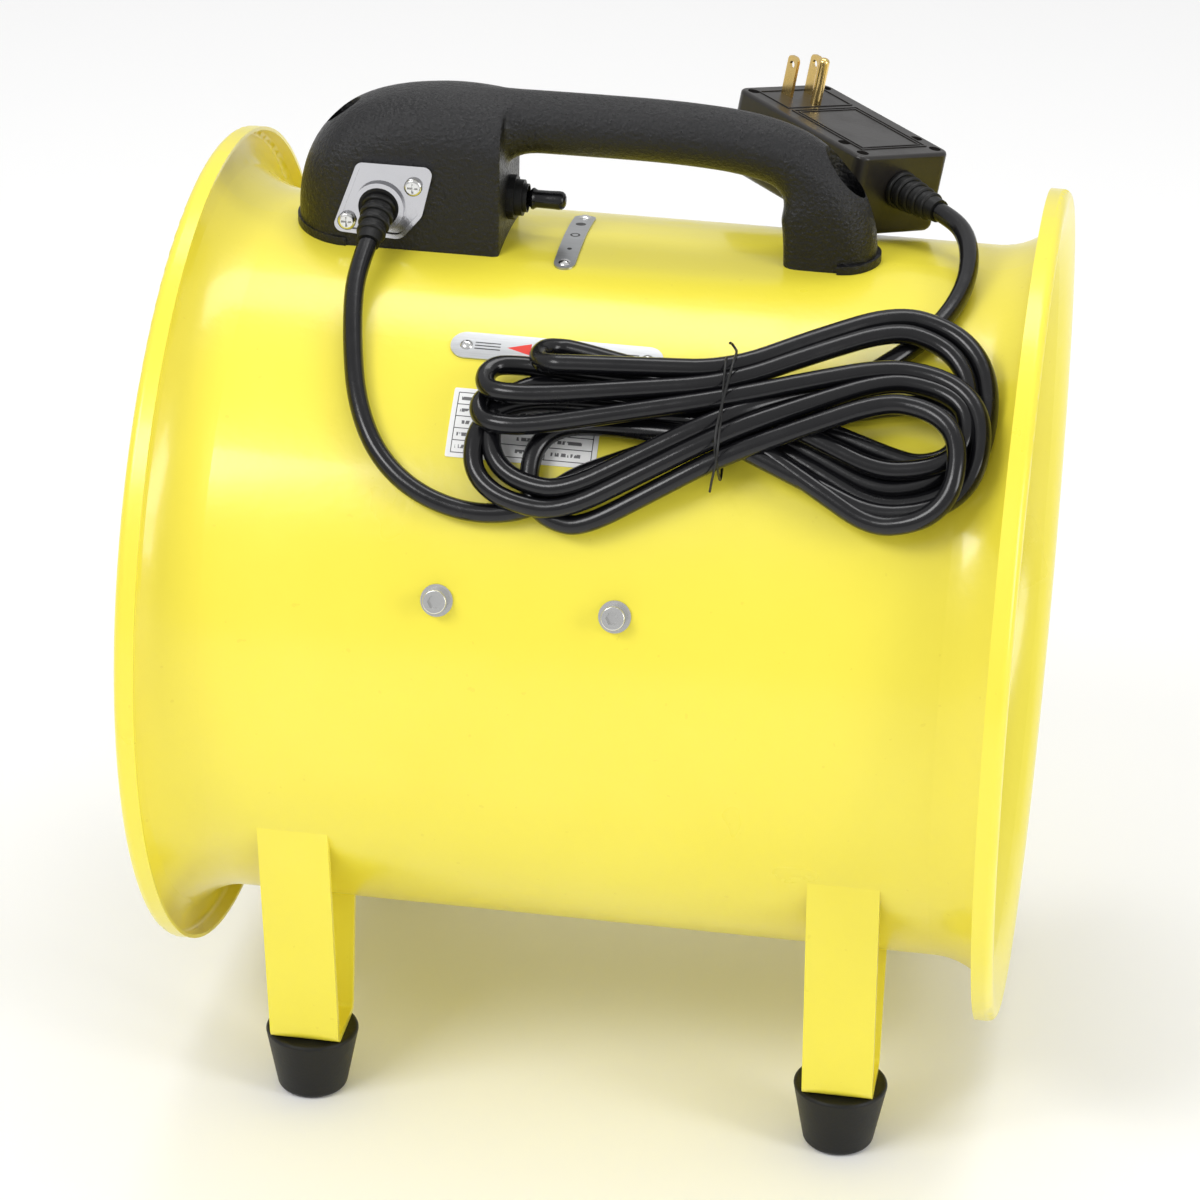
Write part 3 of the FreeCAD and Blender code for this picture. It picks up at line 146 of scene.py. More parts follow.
# Right lobe: top, bottom, tip, and layers at top, tip and bottom.
# Waist: where the strand passes under the tie, on its way left.
# Left lobe: middle, top, bottom, tip, layers; then the waist on its way right.
turns = [
    ((-17, 9, 149, 0.0, 0.0, 0.0), (-15, 0.0), (-4, -28, -13, -22, 0.3, 1.0, 1.9), (-16, 2.0)),
    ((-52, 28, 158, 1.3, 0.3, 0.0), (-4, 0.0), (-8, -6, 12, -43, 0.1, 0.7, 1.4), (-4, 2.0)),
    ((-26, 33, 157, 1.2, 1.2, 0.8), (9, 1.0), (4, 6, 48, -19, 0.1, 0.3, 0.5), (18, 1.5)),
    ((-9, 38, 149, 1.6, 2.0, 1.0), (3, 0.9), (-4, -3, 43, -42, 0.2, 0.6, 1.0), (10, 1.9)),
    ((-21, 15, 151, 1.1, 1.0, 0.6), (-9, 1.0), (-4, -17, 0, -42, 0.5, 1.0, 1.7), (-10, 2.0)),
    ((-44, 21, 151, 1.3, 0.3, 0.0), (-7, 0.2), (-4, -12, 35, -36, 0.1, 0.5, 1.1), (3, 2.0)),
]


def hank_point(x, down, layer):
    radius = first_layer + layer * layer_step
    return on_flank(x * mm, hank_angle + down * mm / flank_arc, radius)


def lobe(middle, top, bottom, tip, layers):
    """Points of one lobe from its top round its tip to its bottom.

    A wide lobe is a little squarer than an ellipse. A narrow one has a half-round tip, or
    it would fold the cord sharper than it bends.
    """
    centre = (top + bottom) / 2
    half_width = (bottom - top) / 2 * outset
    side = 1 if tip > middle else -1
    narrow = half_width < narrow_lobe
    start = tip - side * half_width if narrow else middle
    half_length = (tip - start) * outset
    power = 1.0 if narrow else lobe_power
    high, mid, low = layers
    points = [((middle + start) / 2, top, high)] if narrow else []
    count = 5 if narrow else 8
    for i in range(count):
        share = i / (count - 1)
        angle = math.pi * (0.5 - share)
        c, s = math.cos(angle), math.sin(angle)
        if share < 0.5:
            layer = high + (mid - high) * share * 2
        else:
            layer = mid + (low - mid) * (share * 2 - 1)
        x = start + half_length * max(c, 0.0) ** power
        points.append((x, centre - half_width * math.copysign(abs(s) ** power, s), layer))
    if narrow:
        points.append(((middle + start) / 2, bottom, low))
    return points


def between(start, end, share):
    """The place a share of the way from one point to another."""
    return tuple(a + (b - a) * share for a, b in zip(start, end))


def hank_route():
    """Points from the handle's lead, round all the turns, to the plug's lead."""
    route = [(-4.0, 29.0, 0.0), (14.0, 20.0, 0.0), (36.0, 10.0, 0.0), (tie_x, 2.0, 0.0)]
    for right, waist_left, left, waist_right in turns:
        top, bottom, tip = right[:3]
        arc = lobe(right_middle, top, bottom, tip, right[3:])
        route.append(between(route[-1], arc[0], 0.5))
        route.extend(arc)
        crossing = (tie_x, *waist_left)
        route.append(between(arc[-1], crossing, 0.33))
        route.append(between(arc[-1], crossing, 0.72))
        route.append(crossing)
        middle, top, bottom, tip = left[:4]
        arc = lobe(middle, top, bottom, tip, left[4:])
        route.append(between(crossing, arc[0], 0.5))
        route.extend(arc)
        route.append(between(arc[-1], (tie_x, *waist_right), 0.5))
        route.append((tie_x, *waist_right))
    route.extend([(82.0, -13.0, 0.7), (104.0, -24.0, 0.1)])
    return [hank_point(*point) for point in route]


route = [Vector(point) * mm for point in handle_lead]
route += hank_route()
route += [Vector(point) * mm for point in reversed(plug_lead)]
print("route points", len(route))


# %% The cord as one curve
def smooth_curve(name, points, radius, rings=6):
    """Round tube along a B-spline. Its points carry the radius, so the bevel is 1."""
    data = bpy.data.curves.new(name, "CURVE")
    data.dimensions = "3D"
    spline = data.splines.new("NURBS")
    spline.points.add(len(points) - 1)
    for slot, point in zip(spline.points, points):
        slot.co = (*point, 1.0)
        slot.radius = radius
    spline.order_u = 3
    spline.use_endpoint_u = True
    spline.resolution_u = 8
    data.bevel_depth = 1.0
    data.bevel_resolution = rings
    data.use_fill_caps = True
    piece = bpy.data.objects.new(name, data)
    bpy.context.scene.collection.objects.link(piece)
    return piece


def centre_line(piece):
    """Points along a curve's own line, and its length."""
    bevel = piece.data.bevel_depth
    piece.data.bevel_depth = 0.0
    mesh = bpy.data.meshes.new_from_object(piece)
    piece.data.bevel_depth = bevel
    points = [vertex.co.copy() for vertex in mesh.vertices]
    bpy.data.meshes.remove(mesh)
    return points, sum((b - a).length for a, b in zip(points, points[1:]))


mains_cord = smooth_curve("mains_cord", route, cord_diameter / 2)
cord_points, cord_length = centre_line(mains_cord)
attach(mains_cord, "frame")
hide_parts("cord_handle_lead", "cord_hank", "cord_plug_lead")
print("cord length %.3f m from %d points" % (cord_length, len(cord_points)))


# %% [markdown]
# Every new piece below is made with the mesh operators, as by hand. An operator acts on
# whatever is selected, and the loaded nodes arrive selected, so one helper clears the
# selection, and another applies a modifier so that the finished mesh is real geometry.

# %% Modelling helpers
def deselect():
    if bpy.context.object and bpy.context.object.mode != "OBJECT":
        bpy.ops.object.mode_set(mode="OBJECT")
    bpy.ops.object.select_all(action="DESELECT")


def make_active(piece):
    deselect()
    piece.select_set(True)
    bpy.context.view_layer.objects.active = piece


def apply_modifier(piece, kind, **settings):
    modifier = piece.modifiers.new(kind.lower(), kind)
    for name, value in settings.items():
        setattr(modifier, name, value)
    make_active(piece)
    bpy.ops.object.modifier_apply(modifier=modifier.name)


def bake_place(piece, name):
    """Put the piece's place into its mesh, so that its object sits at the origin."""
    make_active(piece)
    bpy.ops.object.transform_apply(location=True, rotation=True, scale=True)
    piece.name = name
    piece.data.name = name
    return piece


def remove(piece):
    bpy.data.objects.remove(piece)


def combine(target, other, operation):
    apply_modifier(target, "BOOLEAN", object=other, operation=operation, solver="EXACT")
    remove(other)


def rod(radius, start, end, sides=48):
    """Closed cylinder from one point to another."""
    start, end = Vector(start), Vector(end)
    deselect()
    turn = (end - start).to_track_quat("Z", "Y").to_euler()
    bpy.ops.mesh.primitive_cylinder_add(vertices=sides, radius=radius, depth=(end - start).length,
                                        location=(start + end) / 2, rotation=turn)
    return bake_place(bpy.context.object, "rod")


def loft(name, rings):
    """Closed skin through rings of equally many points, made by laying a grid on them."""
    deselect()
    across = len(rings[0])
    bpy.ops.mesh.primitive_grid_add(x_subdivisions=len(rings) - 1, y_subdivisions=across, size=1.0)
    piece = bpy.context.object
    for vertex in piece.data.vertices:
        ring = round((vertex.co.x + 0.5) * (len(rings) - 1))
        place = round((vertex.co.y + 0.5) * across) % across
        vertex.co = rings[ring][place]
    bpy.ops.object.mode_set(mode="EDIT")
    bpy.ops.mesh.select_all(action="SELECT")
    bpy.ops.mesh.remove_doubles(threshold=1e-6)
    bpy.ops.mesh.select_all(action="DESELECT")
    bpy.ops.mesh.select_mode(type="EDGE")
    bpy.ops.mesh.select_non_manifold(extend=False, use_wire=False, use_multi_face=False,
                                     use_non_contiguous=False, use_verts=False)
    bpy.ops.mesh.edge_face_add()
    bpy.ops.mesh.select_all(action="SELECT")
    bpy.ops.mesh.normals_make_consistent(inside=False)
    bpy.ops.object.mode_set(mode="OBJECT")
    piece.name = name
    return piece


def smooth_shade(piece, angle=35):
    make_active(piece)
    bpy.ops.object.shade_smooth_by_angle(angle=math.radians(angle))


print("helpers ready")


# %% [markdown]
# The handle is one thick moulding: an arched housing for the switch, a round bar that
# grows out of its top, and a leg that is flat towards the hand and round behind. In the
# real tool these flow into each other with wide soft blends. Separate solids would show
# hard seams, so the two forms are lofted, joined by a boolean, remeshed into one even skin
# and relaxed. Only then are the crisp things cut: the saddle over the barrel, the two
# screw wells, and the holes for the switch and the cord sleeve.

# %% Handle: housing and bar
def above_axis(x, y, height):
    return Vector((x * mm, y * mm, axis_height + height * mm))


housing_left, housing_right, housing_crown, housing_side = -139.5, -51.0, 214.0, 24.6
shoulder = 21.5
base_height = 138.0
end_crown = 150.0
end_depth = 23.0
crown_fall, crown_curve = 3.2, 0.357
bar_reach, crown_dip = 3.2, 1.3
housing_rings, side_steps, corner_steps = 37, 8, 12
bar_radius, leg_half_length, leg_half_width = 13.0, 19.0, 15.2
bar_sides = 40
leg_side = 30.0
neck_start, neck_length, neck_flare, neck_top = housing_right - 11.0, 22.0, 9.0, 213.8
neck_rings, neck_sides = 13, 48


def housing_ring(x):
    """Section across the housing: upright sides, round shoulders and a nearly flat crown."""
    share = (housing_right - x) / (housing_right - housing_left)
    rise = max(0.0, 1.0 - share ** crown_fall) ** crown_curve
    crown = end_crown + (housing_crown - end_crown) * rise
    behind = max(0.0, (housing_left + end_depth - x) / end_depth)
    side = max(housing_side * math.sqrt(max(0.0, 1.0 - behind ** 2)), 0.4)
    near_bar = max(0.0, 1.0 - share * bar_reach) ** 2
    crown -= crown_dip * near_bar
    corner = min(shoulder + (side - shoulder) * near_bar, side * 0.98, (crown - base_height) * 0.8)
    half = [(side, base_height + (crown - corner - base_height) * i / side_steps)
            for i in range(side_steps)]
    for i in range(corner_steps + 1):
        turn = math.pi / 2 * i / corner_steps
        half.append((side - corner + corner * math.cos(turn),
                     crown - corner + corner * math.sin(turn)))
    half.append(((side - corner) * 0.4, crown + 0.1))
    outline = half + [(-y, height) for y, height in reversed(half)]
    return [above_axis(x, y, height) for y, height in outline]


# The power sets the sections closer together at the round end.
stations = [housing_left + (housing_right - housing_left) * (i / (housing_rings - 1)) ** 1.7
            for i in range(housing_rings)]
handle_body = loft("handle_body", [housing_ring(x) for x in stations])

bar_middle = [(-70, 200.6), (-62, 200.8), (-20, 201.2), (20, 201.1), (50, 198.8), (70, 192.5),
              (80.8, 181.0), (84.5, 164), (84.5, 136)]
bar_line = smooth_curve("bar_line", [above_axis(x, 0, height) for x, height in bar_middle], 1 * mm)
bar_points = centre_line(bar_line)[0]
remove(bar_line)


def swell(point, start, span):
    """0 above a height, rising smoothly to 1 over a span below it, on the leg's side only."""
    if point.x <= leg_side * mm:
        return 0.0
    share = min(1.0, max(0.0, (start - (point.z - axis_height) / mm) / span))
    return share * share * (3 - 2 * share)


def bar_ring(before, point, after):
    """Section across the bar: round in the hand, flat-faced and wider down the leg."""
    way = (after - before).normalized()
    inward = Vector((way.z, 0, -way.x))
    facing, behind = swell(point, 196.0, 22.0), swell(point, 191.0, 33.0)
    width = (bar_radius + (leg_half_width - bar_radius) * facing) * mm
    ring = []
    for i in range(bar_sides):
        turn = 2 * math.pi * i / bar_sides
        c, s = math.cos(turn), math.sin(turn)
        widen, squareness = (facing, 5.0) if c > 0 else (behind, 0.5)
        depth = (bar_radius + (leg_half_length - bar_radius) * widen) * mm
        power = 2 / (2 + squareness * widen)
        ring.append(point + inward * depth * math.copysign(abs(c) ** power, c)
                    + Vector((0, 1, 0)) * width * math.copysign(abs(s) ** power, s))
    return ring


def neck_ring(i):
    """Round section of the flare where the bar leaves the housing, level along its top."""
    share = 1 - i / (neck_rings - 1)
    radius = bar_radius + neck_flare * share ** 2
    x = neck_start + neck_length * i / (neck_rings - 1)
    turns = [2 * math.pi * j / neck_sides for j in range(neck_sides)]
    return [above_axis(x, radius * math.sin(turn), neck_top - radius + radius * math.cos(turn))
            for turn in turns]


trios = zip([bar_points[0]] + bar_points[:-1], bar_points, bar_points[1:] + [bar_points[-1]])
bar = loft("bar", [bar_ring(*trio) for trio in trios])
combine(handle_body, bar, "UNION")
combine(handle_body, loft("neck", [neck_ring(i) for i in range(neck_rings)]), "UNION")
print("handle faces after union", len(handle_body.data.polygons))


# %% Handle: one skin, then the crisp cuts
apply_modifier(handle_body, "REMESH", mode="VOXEL", voxel_size=1.25 * mm, use_smooth_shade=True)
apply_modifier(handle_body, "SMOOTH", factor=0.5, iterations=6)
well_floor, well_top = 163.0, 240.0
left_well_x, left_well_radius = -121.0, 6.8
right_well_x, right_well_radius = 88.6, 8.6
toggle_height, toggle_hole = 167.0, 6.2
sleeve_x, sleeve_height, sleeve_hole = -100.8, 168.5, 8.6


def barrel_core(radius):
    """Round bar along the barrel's axis, longer than the handle, to cut or trim with."""
    return rod(radius, (-0.2, 0, axis_height), (0.2, 0, axis_height), 256)


def hole(radius, start, end):
    return rod(radius * mm, above_axis(*start), above_axis(*end))


cuts = [
    barrel_core(barrel_outer),
    hole(left_well_radius, (left_well_x, 0, well_floor), (left_well_x, 0, well_top)),
    hole(right_well_radius, (right_well_x, 0, well_floor), (right_well_x, 0, well_top)),
    hole(toggle_hole, (housing_right - 8, 0, toggle_height), (housing_right + 8, 0, toggle_height)),
    hole(sleeve_hole, (sleeve_x, -14, sleeve_height), (sleeve_x, -40, sleeve_height)),
]
for cut in cuts:
    combine(handle_body, cut, "DIFFERENCE")


lip_thickness = 3.6 * mm


def handle_lip(x_end, half_width, side):
    """Thin lip round the round end of the moulding, lying on the barrel.

    The disc is trimmed to a shell on the barrel. The cube takes the half under the handle.
    """
    deselect()
    centre_x = x_end - side * half_width
    bpy.ops.mesh.primitive_cylinder_add(vertices=96, radius=half_width * mm, depth=30 * mm,
                                        location=above_axis(centre_x, 0, 141))
    lip = bake_place(bpy.context.object, "lip")
    combine(lip, barrel_core(barrel_outer + lip_thickness), "INTERSECT")
    combine(lip, barrel_core(barrel_outer), "DIFFERENCE")
    bpy.ops.mesh.primitive_cube_add(size=0.2, location=above_axis(centre_x - side * 100, 0, 150))
    combine(lip, bpy.context.object, "DIFFERENCE")
    apply_modifier(lip, "BEVEL", width=0.7 * mm, segments=3, limit_method="ANGLE",
                   angle_limit=math.radians(50))
    return lip


lips = [handle_lip(x_end=-140.5, half_width=25.3, side=-1),
        handle_lip(x_end=105.0, half_width=16.6, side=1)]
make_active(handle_body)
for lip in lips:
    lip.select_set(True)
bpy.ops.object.join()
handle_body.name = "handle_moulding"
smooth_shade(handle_body, 40)
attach(handle_body, "frame")
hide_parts("handle")
print("handle faces", len(handle_body.data.polygons))


# %% [markdown]
# A finish is a network of shader nodes. Adding them one by one by hand hides the idea in
# bookkeeping, so a small class wraps a socket: `1 - mask * 0.3` then adds its own Math
# nodes and reads like a formula. A second class holds one material, with a single method
# that adds any other node. Lengths are metres, because Object coordinates are. In a mask,
# `|` takes the larger of two values and `&` the smaller.

# %% Values and finishes
class Value:
    """One socket's output, with the arithmetic that Math nodes do."""

    def __init__(self, finish, socket):
        self.finish, self.socket = finish, socket

    def math(self, operation, *terms):
        return self.finish.node("ShaderNodeMath", {"operation": operation}, dict(enumerate(terms)))

    def __add__(self, other):
        return self.math("ADD", self, other)

    def __mul__(self, other):
        return self.math("MULTIPLY", self, other)

    def __sub__(self, other):
        return self.math("SUBTRACT", self, other)

    def __rsub__(self, other):
        return self.math("SUBTRACT", other, self)

    def __lt__(self, other):
        return self.math("LESS_THAN", self, other)

    def __gt__(self, other):
        return self.math("GREATER_THAN", self, other)

    def __abs__(self):
        return self.math("ABSOLUTE", self)

    def root(self):
        return self.math("SQRT", self)

    def __or__(self, other):
        return self.math("MAXIMUM", self, other)

    def __and__(self, other):
        return self.math("MINIMUM", self, other)

    __radd__, __rmul__ = __add__, __mul__


class Finish:
    """One material: its shader's constants are set once, and what varies is fed in."""

    def __init__(self, name, colour, roughness, metallic=0.0, **sockets):
        self.material = bpy.data.materials.new(name)
        self.material.use_nodes = True
        self.tree = self.material.node_tree
        self.shader = self.tree.nodes["Principled BSDF"]
        self.feed("Base Color", (*colour, 1.0))
        self.feed("Roughness", roughness)
        self.feed("Metallic", metallic)
        for socket, value in sockets.items():
            self.feed(socket.replace("_", " "), value)
        self.place = self.node("ShaderNodeTexCoord", {}, {}, "Object")

    def feed(self, socket, value):
        self.plug(self.shader.inputs[socket], value)

    def plug(self, socket, value):
        if isinstance(value, Value):
            self.tree.links.new(value.socket, socket)
        else:
            socket.default_value = value

    def node(self, kind, settings, inputs, output=0):
        """Any node, with its settings, its inputs and the output that is wanted."""
        node = self.tree.nodes.new(kind)
        for name, value in settings.items():
            setattr(node, name, value)
        for socket, value in inputs.items():
            self.plug(node.inputs[socket], value)
        return Value(self, node.outputs[output])

    def axes(self):
        """The x, y and z of the object's own coordinates, in metres."""
        parts = self.node("ShaderNodeSeparateXYZ", {}, {"Vector": self.place})
        return [Value(self, parts.socket.node.outputs[i]) for i in range(3)]

    def scaled(self, x, y, z):
        return self.node("ShaderNodeMapping", {}, {"Vector": self.place, "Scale": (x, y, z)})

    def noise(self, size, detail=2.0, roughness=0.5, vector=None):
        """Noise whose blobs are about size metres across, from 0 to 1."""
        return self.node("ShaderNodeTexNoise", {}, {
            "Vector": vector or self.place, "Scale": 1.0 / size,
            "Detail": detail, "Roughness": roughness})

    def cells(self, size, feature):
        """Distance within Voronoi cells about size metres across."""
        return self.node("ShaderNodeTexVoronoi", {"feature": feature}, {
            "Vector": self.place, "Scale": 1.0 / size}, "Distance")

    def ramp(self, value, low, high):
        """Value stretched so that low becomes 0 and high becomes 1."""
        return self.node("ShaderNodeMapRange", {}, {
            "Value": value, "From Min": low, "From Max": high})

    def mix(self, factor, first, second):
        """Colour between two. This node keeps its colours in sockets 6, 7 and out in 2."""
        first, second = ((*c, 1.0) if isinstance(c, tuple) else c for c in (first, second))
        return self.node("ShaderNodeMix", {"data_type": "RGBA"},
                         {0: factor, 6: first, 7: second}, 2)

    def bump(self, height, depth):
        """Relief whose full height is depth metres."""
        self.feed("Normal", self.node("ShaderNodeBump", {}, {
            "Height": height, "Distance": depth, "Strength": 1.0}))


finishes = {}
print("finish classes ready")


# %% [markdown]
# The barrel and legs are powder coated: a thick glossy skin baked on from dry powder. Its
# marks are a slow ripple known as orange peel, a little unevenness in the gloss, and a few
# dull rubs where the rims and feet are handled. A flat yellow would look like card. The
# ripple is noise in the bump, a few millimetres across and hundredths of a millimetre deep.

# %% Yellow powder coat
paint = Finish("yellow powder coat", (0.86, 0.74, 0.055), 0.3, Coat_Roughness=0.12)
cloud = paint.ramp(paint.noise(0.09, 3.0), 0.3, 0.7)
tone = paint.mix(cloud, (0.85, 0.735, 0.050), (0.875, 0.765, 0.062))
specks = paint.noise(0.004, 1.0) > 0.775
paint.feed("Base Color", paint.mix(specks * 0.25, tone, (0.7, 0.56, 0.03)))
rubs = paint.ramp(paint.noise(0.03, 5.0, 0.65), 0.55, 0.75)
paint.feed("Roughness", 0.27 + cloud * 0.05 + rubs * 0.1)
paint.feed("Coat Weight", 0.35 - rubs * 0.15)
paint.bump(paint.noise(0.0035, 2.0) + paint.noise(0.012, 1.0) * 0.8, 0.00007)
finishes["yellow_paint"] = paint
print("nodes in the powder coat", len(paint.tree.nodes))


# %% [markdown]
# The handle is black plastic from a mould etched with a leather grain: rounded pebbles a
# millimetre or so across, with finer speckle between them. It glints at the crests, so the
# hollows are rougher than the crests. Voronoi cells give the pebbles and noise the speckle.

# %% Handle plastic with leather grain
grain = Finish("grained black plastic", (0.005, 0.005, 0.006), 0.36, Specular_IOR_Level=0.42)
pebble = 1 - grain.cells(0.0017, "SMOOTH_F1")
speckle = grain.noise(0.0009, 3.0, 0.6)
relief = pebble * 0.65 + speckle * 0.7
grain.feed("Roughness", 0.44 - grain.ramp(relief, 0.5, 1.05) * 0.2)
grain.feed("Base Color", grain.mix(
    grain.noise(0.03, 3.0), (0.003, 0.003, 0.004), (0.006, 0.006, 0.007)))
grain.bump(relief, 0.0007)
finishes["handle_plastic"] = grain
print("nodes in the handle plastic", len(grain.tree.nodes))


# %% [markdown]
# Black parts differ mostly in gloss. The cord's jacket is shiny and very slightly wavy,
# the feet and sleeves are satin rubber with a bloom of dust in the low places, and the
# plug is a smooth grey-black moulding. One function makes them all from a few values.

# %% Other black mouldings
def moulding(slot, name, colour, gloss, ripple, depth, dust=0.0, shine=0.5):
    """Smooth moulding: ripple is the size of its waves and depth their height, in metres."""
    finish = Finish(name, colour, gloss, Specular_IOR_Level=shine)
    fine = finish.noise(ripple, 3.0)
    dirt = finish.ramp(finish.noise(0.02, 4.0, 0.6), 0.45, 0.75)
    pale = tuple(min(1.0, c * 1.6 + 0.02) for c in colour)
    finish.feed("Base Color", finish.mix(dirt * dust, colour, pale))
    finish.feed("Roughness", gloss + dirt * 0.12 + fine * 0.06)
    finish.bump(fine, depth)
    finishes[slot] = finish


moulding("cord_jacket", "glossy cord jacket", (0.004, 0.004, 0.005), 0.17, 0.006, 0.00010,
         dust=0.03, shine=0.42)
moulding("black_rubber", "satin black rubber", (0.007, 0.007, 0.007), 0.4, 0.0012, 0.00008,
         dust=0.06, shine=0.3)
moulding("plug_plastic", "grey black plastic", (0.016, 0.014, 0.013), 0.26, 0.0016, 0.00004,
         dust=0.05)
moulding("guard_wire", "black coated wire", (0.010, 0.010, 0.010), 0.33, 0.002, 0.00005,
         dust=0.1, shine=0.4)
moulding("motor_paint", "dark grey motor paint", (0.075, 0.08, 0.085), 0.42, 0.0012, 0.00008,
         dust=0.15)
moulding("capacitor_white", "off white plastic", (0.72, 0.72, 0.68), 0.35, 0.002, 0.00004)
moulding("button_red", "red button plastic", (0.55, 0.03, 0.025), 0.3, 0.002, 0.00003, dust=0.1)
moulding("button_grey", "grey button plastic", (0.22, 0.22, 0.23), 0.3, 0.002, 0.00003, dust=0.1)
print("mouldings", len(finishes))


# %% [markdown]
# Bare metals show how they were made: brushed sheet has long fine scratches, castings a
# sandy skin, plating a soft cloudiness. Scratches are noise stretched along one axis by a
# Mapping node, and the same noise that shades them also roughens and lifts them.

# %% Metals
def metal(slot, name, colour, gloss, size, depth, stretch=(1.0, 1.0, 1.0), cloud=0.12):
    finish = Finish(name, colour, gloss, 1.0)
    marks = finish.noise(size, 3.0, 0.6, finish.scaled(*stretch))
    haze = finish.ramp(finish.noise(0.018, 3.0), 0.35, 0.7)
    dim = tuple(c * (1.0 - cloud) for c in colour)
    finish.feed("Base Color", finish.mix(haze * 0.6 + marks * 0.4, colour, dim))
    finish.feed("Roughness", gloss + haze * 0.08 + (marks - 0.5) * 0.16)
    finish.bump(marks, depth)
    finishes[slot] = finish
    return finish


metal("zinc_steel", "bright zinc plate", (0.72, 0.72, 0.71), 0.18, 0.0015, 0.00003)
metal("chrome_plate", "polished chrome", (0.50, 0.50, 0.52), 0.1, 0.004, 0.00002, cloud=0.05)
metal("plug_brass", "bright brass", (0.86, 0.62, 0.24), 0.2, 0.0008, 0.00002, (1, 1, 0.15))
metal("cast_aluminium", "sandy cast aluminium", (0.62, 0.63, 0.64), 0.45, 0.0012, 0.00012)
core = metal("core_steel", "stacked laminations", (0.36, 0.36, 0.37), 0.42, 0.0016, 0.00004)
sheets = core.node("ShaderNodeTexWave", {"bands_direction": "X"}, {
    "Vector": core.place, "Scale": 320.0, "Distortion": 0.15}, "Fac")
core.feed("Roughness", 0.36 + sheets * 0.2)
core.bump(sheets, 0.00012)
print("metals", len(finishes))


# %% [markdown]
# The motor's windings are enamelled copper wire laid side by side, so the finish needs
# round ridges a millimetre apart under a clear coat. The same ridges darken the colour
# in the grooves between wires, which is painted shade, and lighten it on the crests,
# which is painted highlight. The little board in the plug is green lacquer over copper
# tracks, which stand a hair proud and show as a lighter green.

# %% Windings and board
wire = Finish("enamelled copper wire", (0.62, 0.24, 0.09), 0.3, 0.85,
              Coat_Weight=0.6, Coat_Roughness=0.1)
ridges_and_painted_shade = wire.node("ShaderNodeTexWave", {"bands_direction": "DIAGONAL"}, {
    "Vector": wire.place, "Scale": 190.0, "Distortion": 1.2, "Detail": 1.0}, "Fac")
# The ridge bands set the colour too: darker between the wires, which is painted shade, and lighter
# on the crests, which is painted highlight.
wire.feed("Base Color", wire.mix(ridges_and_painted_shade, (0.36, 0.12, 0.04), (0.72, 0.31, 0.13)))
wire.bump(ridges_and_painted_shade, 0.0004)
finishes["copper_wire"] = wire

board = Finish("green lacquered board", (0.02, 0.16, 0.06), 0.32)
tracks = board.cells(0.004, "DISTANCE_TO_EDGE") < 0.12
board.feed("Base Color", board.mix(tracks, (0.012, 0.11, 0.04), (0.05, 0.27, 0.1)))
board.bump(tracks, 0.00005)
finishes["board_green"] = board
print("finishes", len(finishes))


# %% [markdown]
# Two aluminium plates and a paper label carry printing. Instead of words they carry plain
# marks: a red double arrow with three air lines at each end for the two directions, a dot,
# a ring and a bigger dot for the switch, and an empty ruled table. Each mark is a formula:
# a position along the plate, u, and one across it, v, both in metres from its middle.

# %% Printed plates
def brushed(name):
    """Brushed aluminium, its sheen and its gloss, which the printing then covers."""
    finish = Finish(name, (0.66, 0.67, 0.69), 0.32, 1.0)
    lines = finish.noise(0.0006, 2.0, 0.6, finish.scaled(0.04, 1.0, 1.0))
    finish.bump(lines, 0.00002)
    return finish, finish.mix(lines, (0.40, 0.41, 0.42), (0.56, 0.57, 0.58)), 0.26 + lines * 0.14


def across_flank(finish, node):
    """Distances along and down the flank from the middle of a piece that lies on it."""
    x, y, z = finish.axes()
    low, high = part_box(node)
    middle = (low + high) / 2
    down = math.atan2(-middle.y, middle.z - axis_height)
    u = x - middle.x
    v = (y - middle.y) * -math.cos(down) + (z - middle.z) * -math.sin(down)
    return u, v


def bars(value, width, *places):
    """1 where a value is within half a width of any of some places."""
    found = [abs(value - place) < width / 2 for place in places]
    total = found[0]
    for one in found[1:]:
        total = total | one
    return total


arrow_plate, sheen, gloss = brushed("brushed plate with red arrow")
u, v = across_flank(arrow_plate, "direction_plate")
along, beside = abs(u), abs(v)
tip, head, head_half, shaft_half = 20.3 * mm, 9.8 * mm, 2.9 * mm, 1.1 * mm
in_head = along > tip - head
arrow = beside < in_head * (tip - along) * (head_half / head) + (1 - in_head) * shaft_half
air_line, air_gap, air_start, air_end = 0.55 * mm, 1.5 * mm, 23 * mm, 33.5 * mm
air_lines = bars(v, air_line, -air_gap, 0.0, air_gap) & (along > air_start) & (along < air_end)
ink = arrow | air_lines
colour = arrow_plate.mix(air_lines, sheen, (0.02, 0.02, 0.02))
arrow_plate.feed("Base Color", arrow_plate.mix(arrow, colour, (0.75, 0.03, 0.015)))
arrow_plate.feed("Metallic", 1 - ink)
arrow_plate.feed("Roughness", gloss + ink * 0.1)

dot_plate, sheen, gloss = brushed("brushed plate with dots")
x, y, z = dot_plate.axes()
low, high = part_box("switch_plate")
from_middle = x - (low.x + high.x) / 2


def distance_to(y_centre):
    """Distance on the plate from the point at y_centre on its middle line."""
    beyond = y - y_centre
    return (from_middle * from_middle + beyond * beyond).root()


small_dot, ring_middle, ring_half, large_dot = 1.0 * mm, 1.7 * mm, 0.4 * mm, 2.2 * mm
small, ring, large = (distance_to(place * mm) for place in (-14, 0, 14))
dots = (small < small_dot) | (abs(ring - ring_middle) < ring_half) | (large < large_dot)
dot_plate.feed("Base Color", dot_plate.mix(dots, sheen, (0.02, 0.02, 0.02)))
dot_plate.feed("Metallic", 1 - dots)
dot_plate.feed("Roughness", gloss + dots * 0.1)
finishes["plate_aluminium"] = arrow_plate
print("printed plates ready")


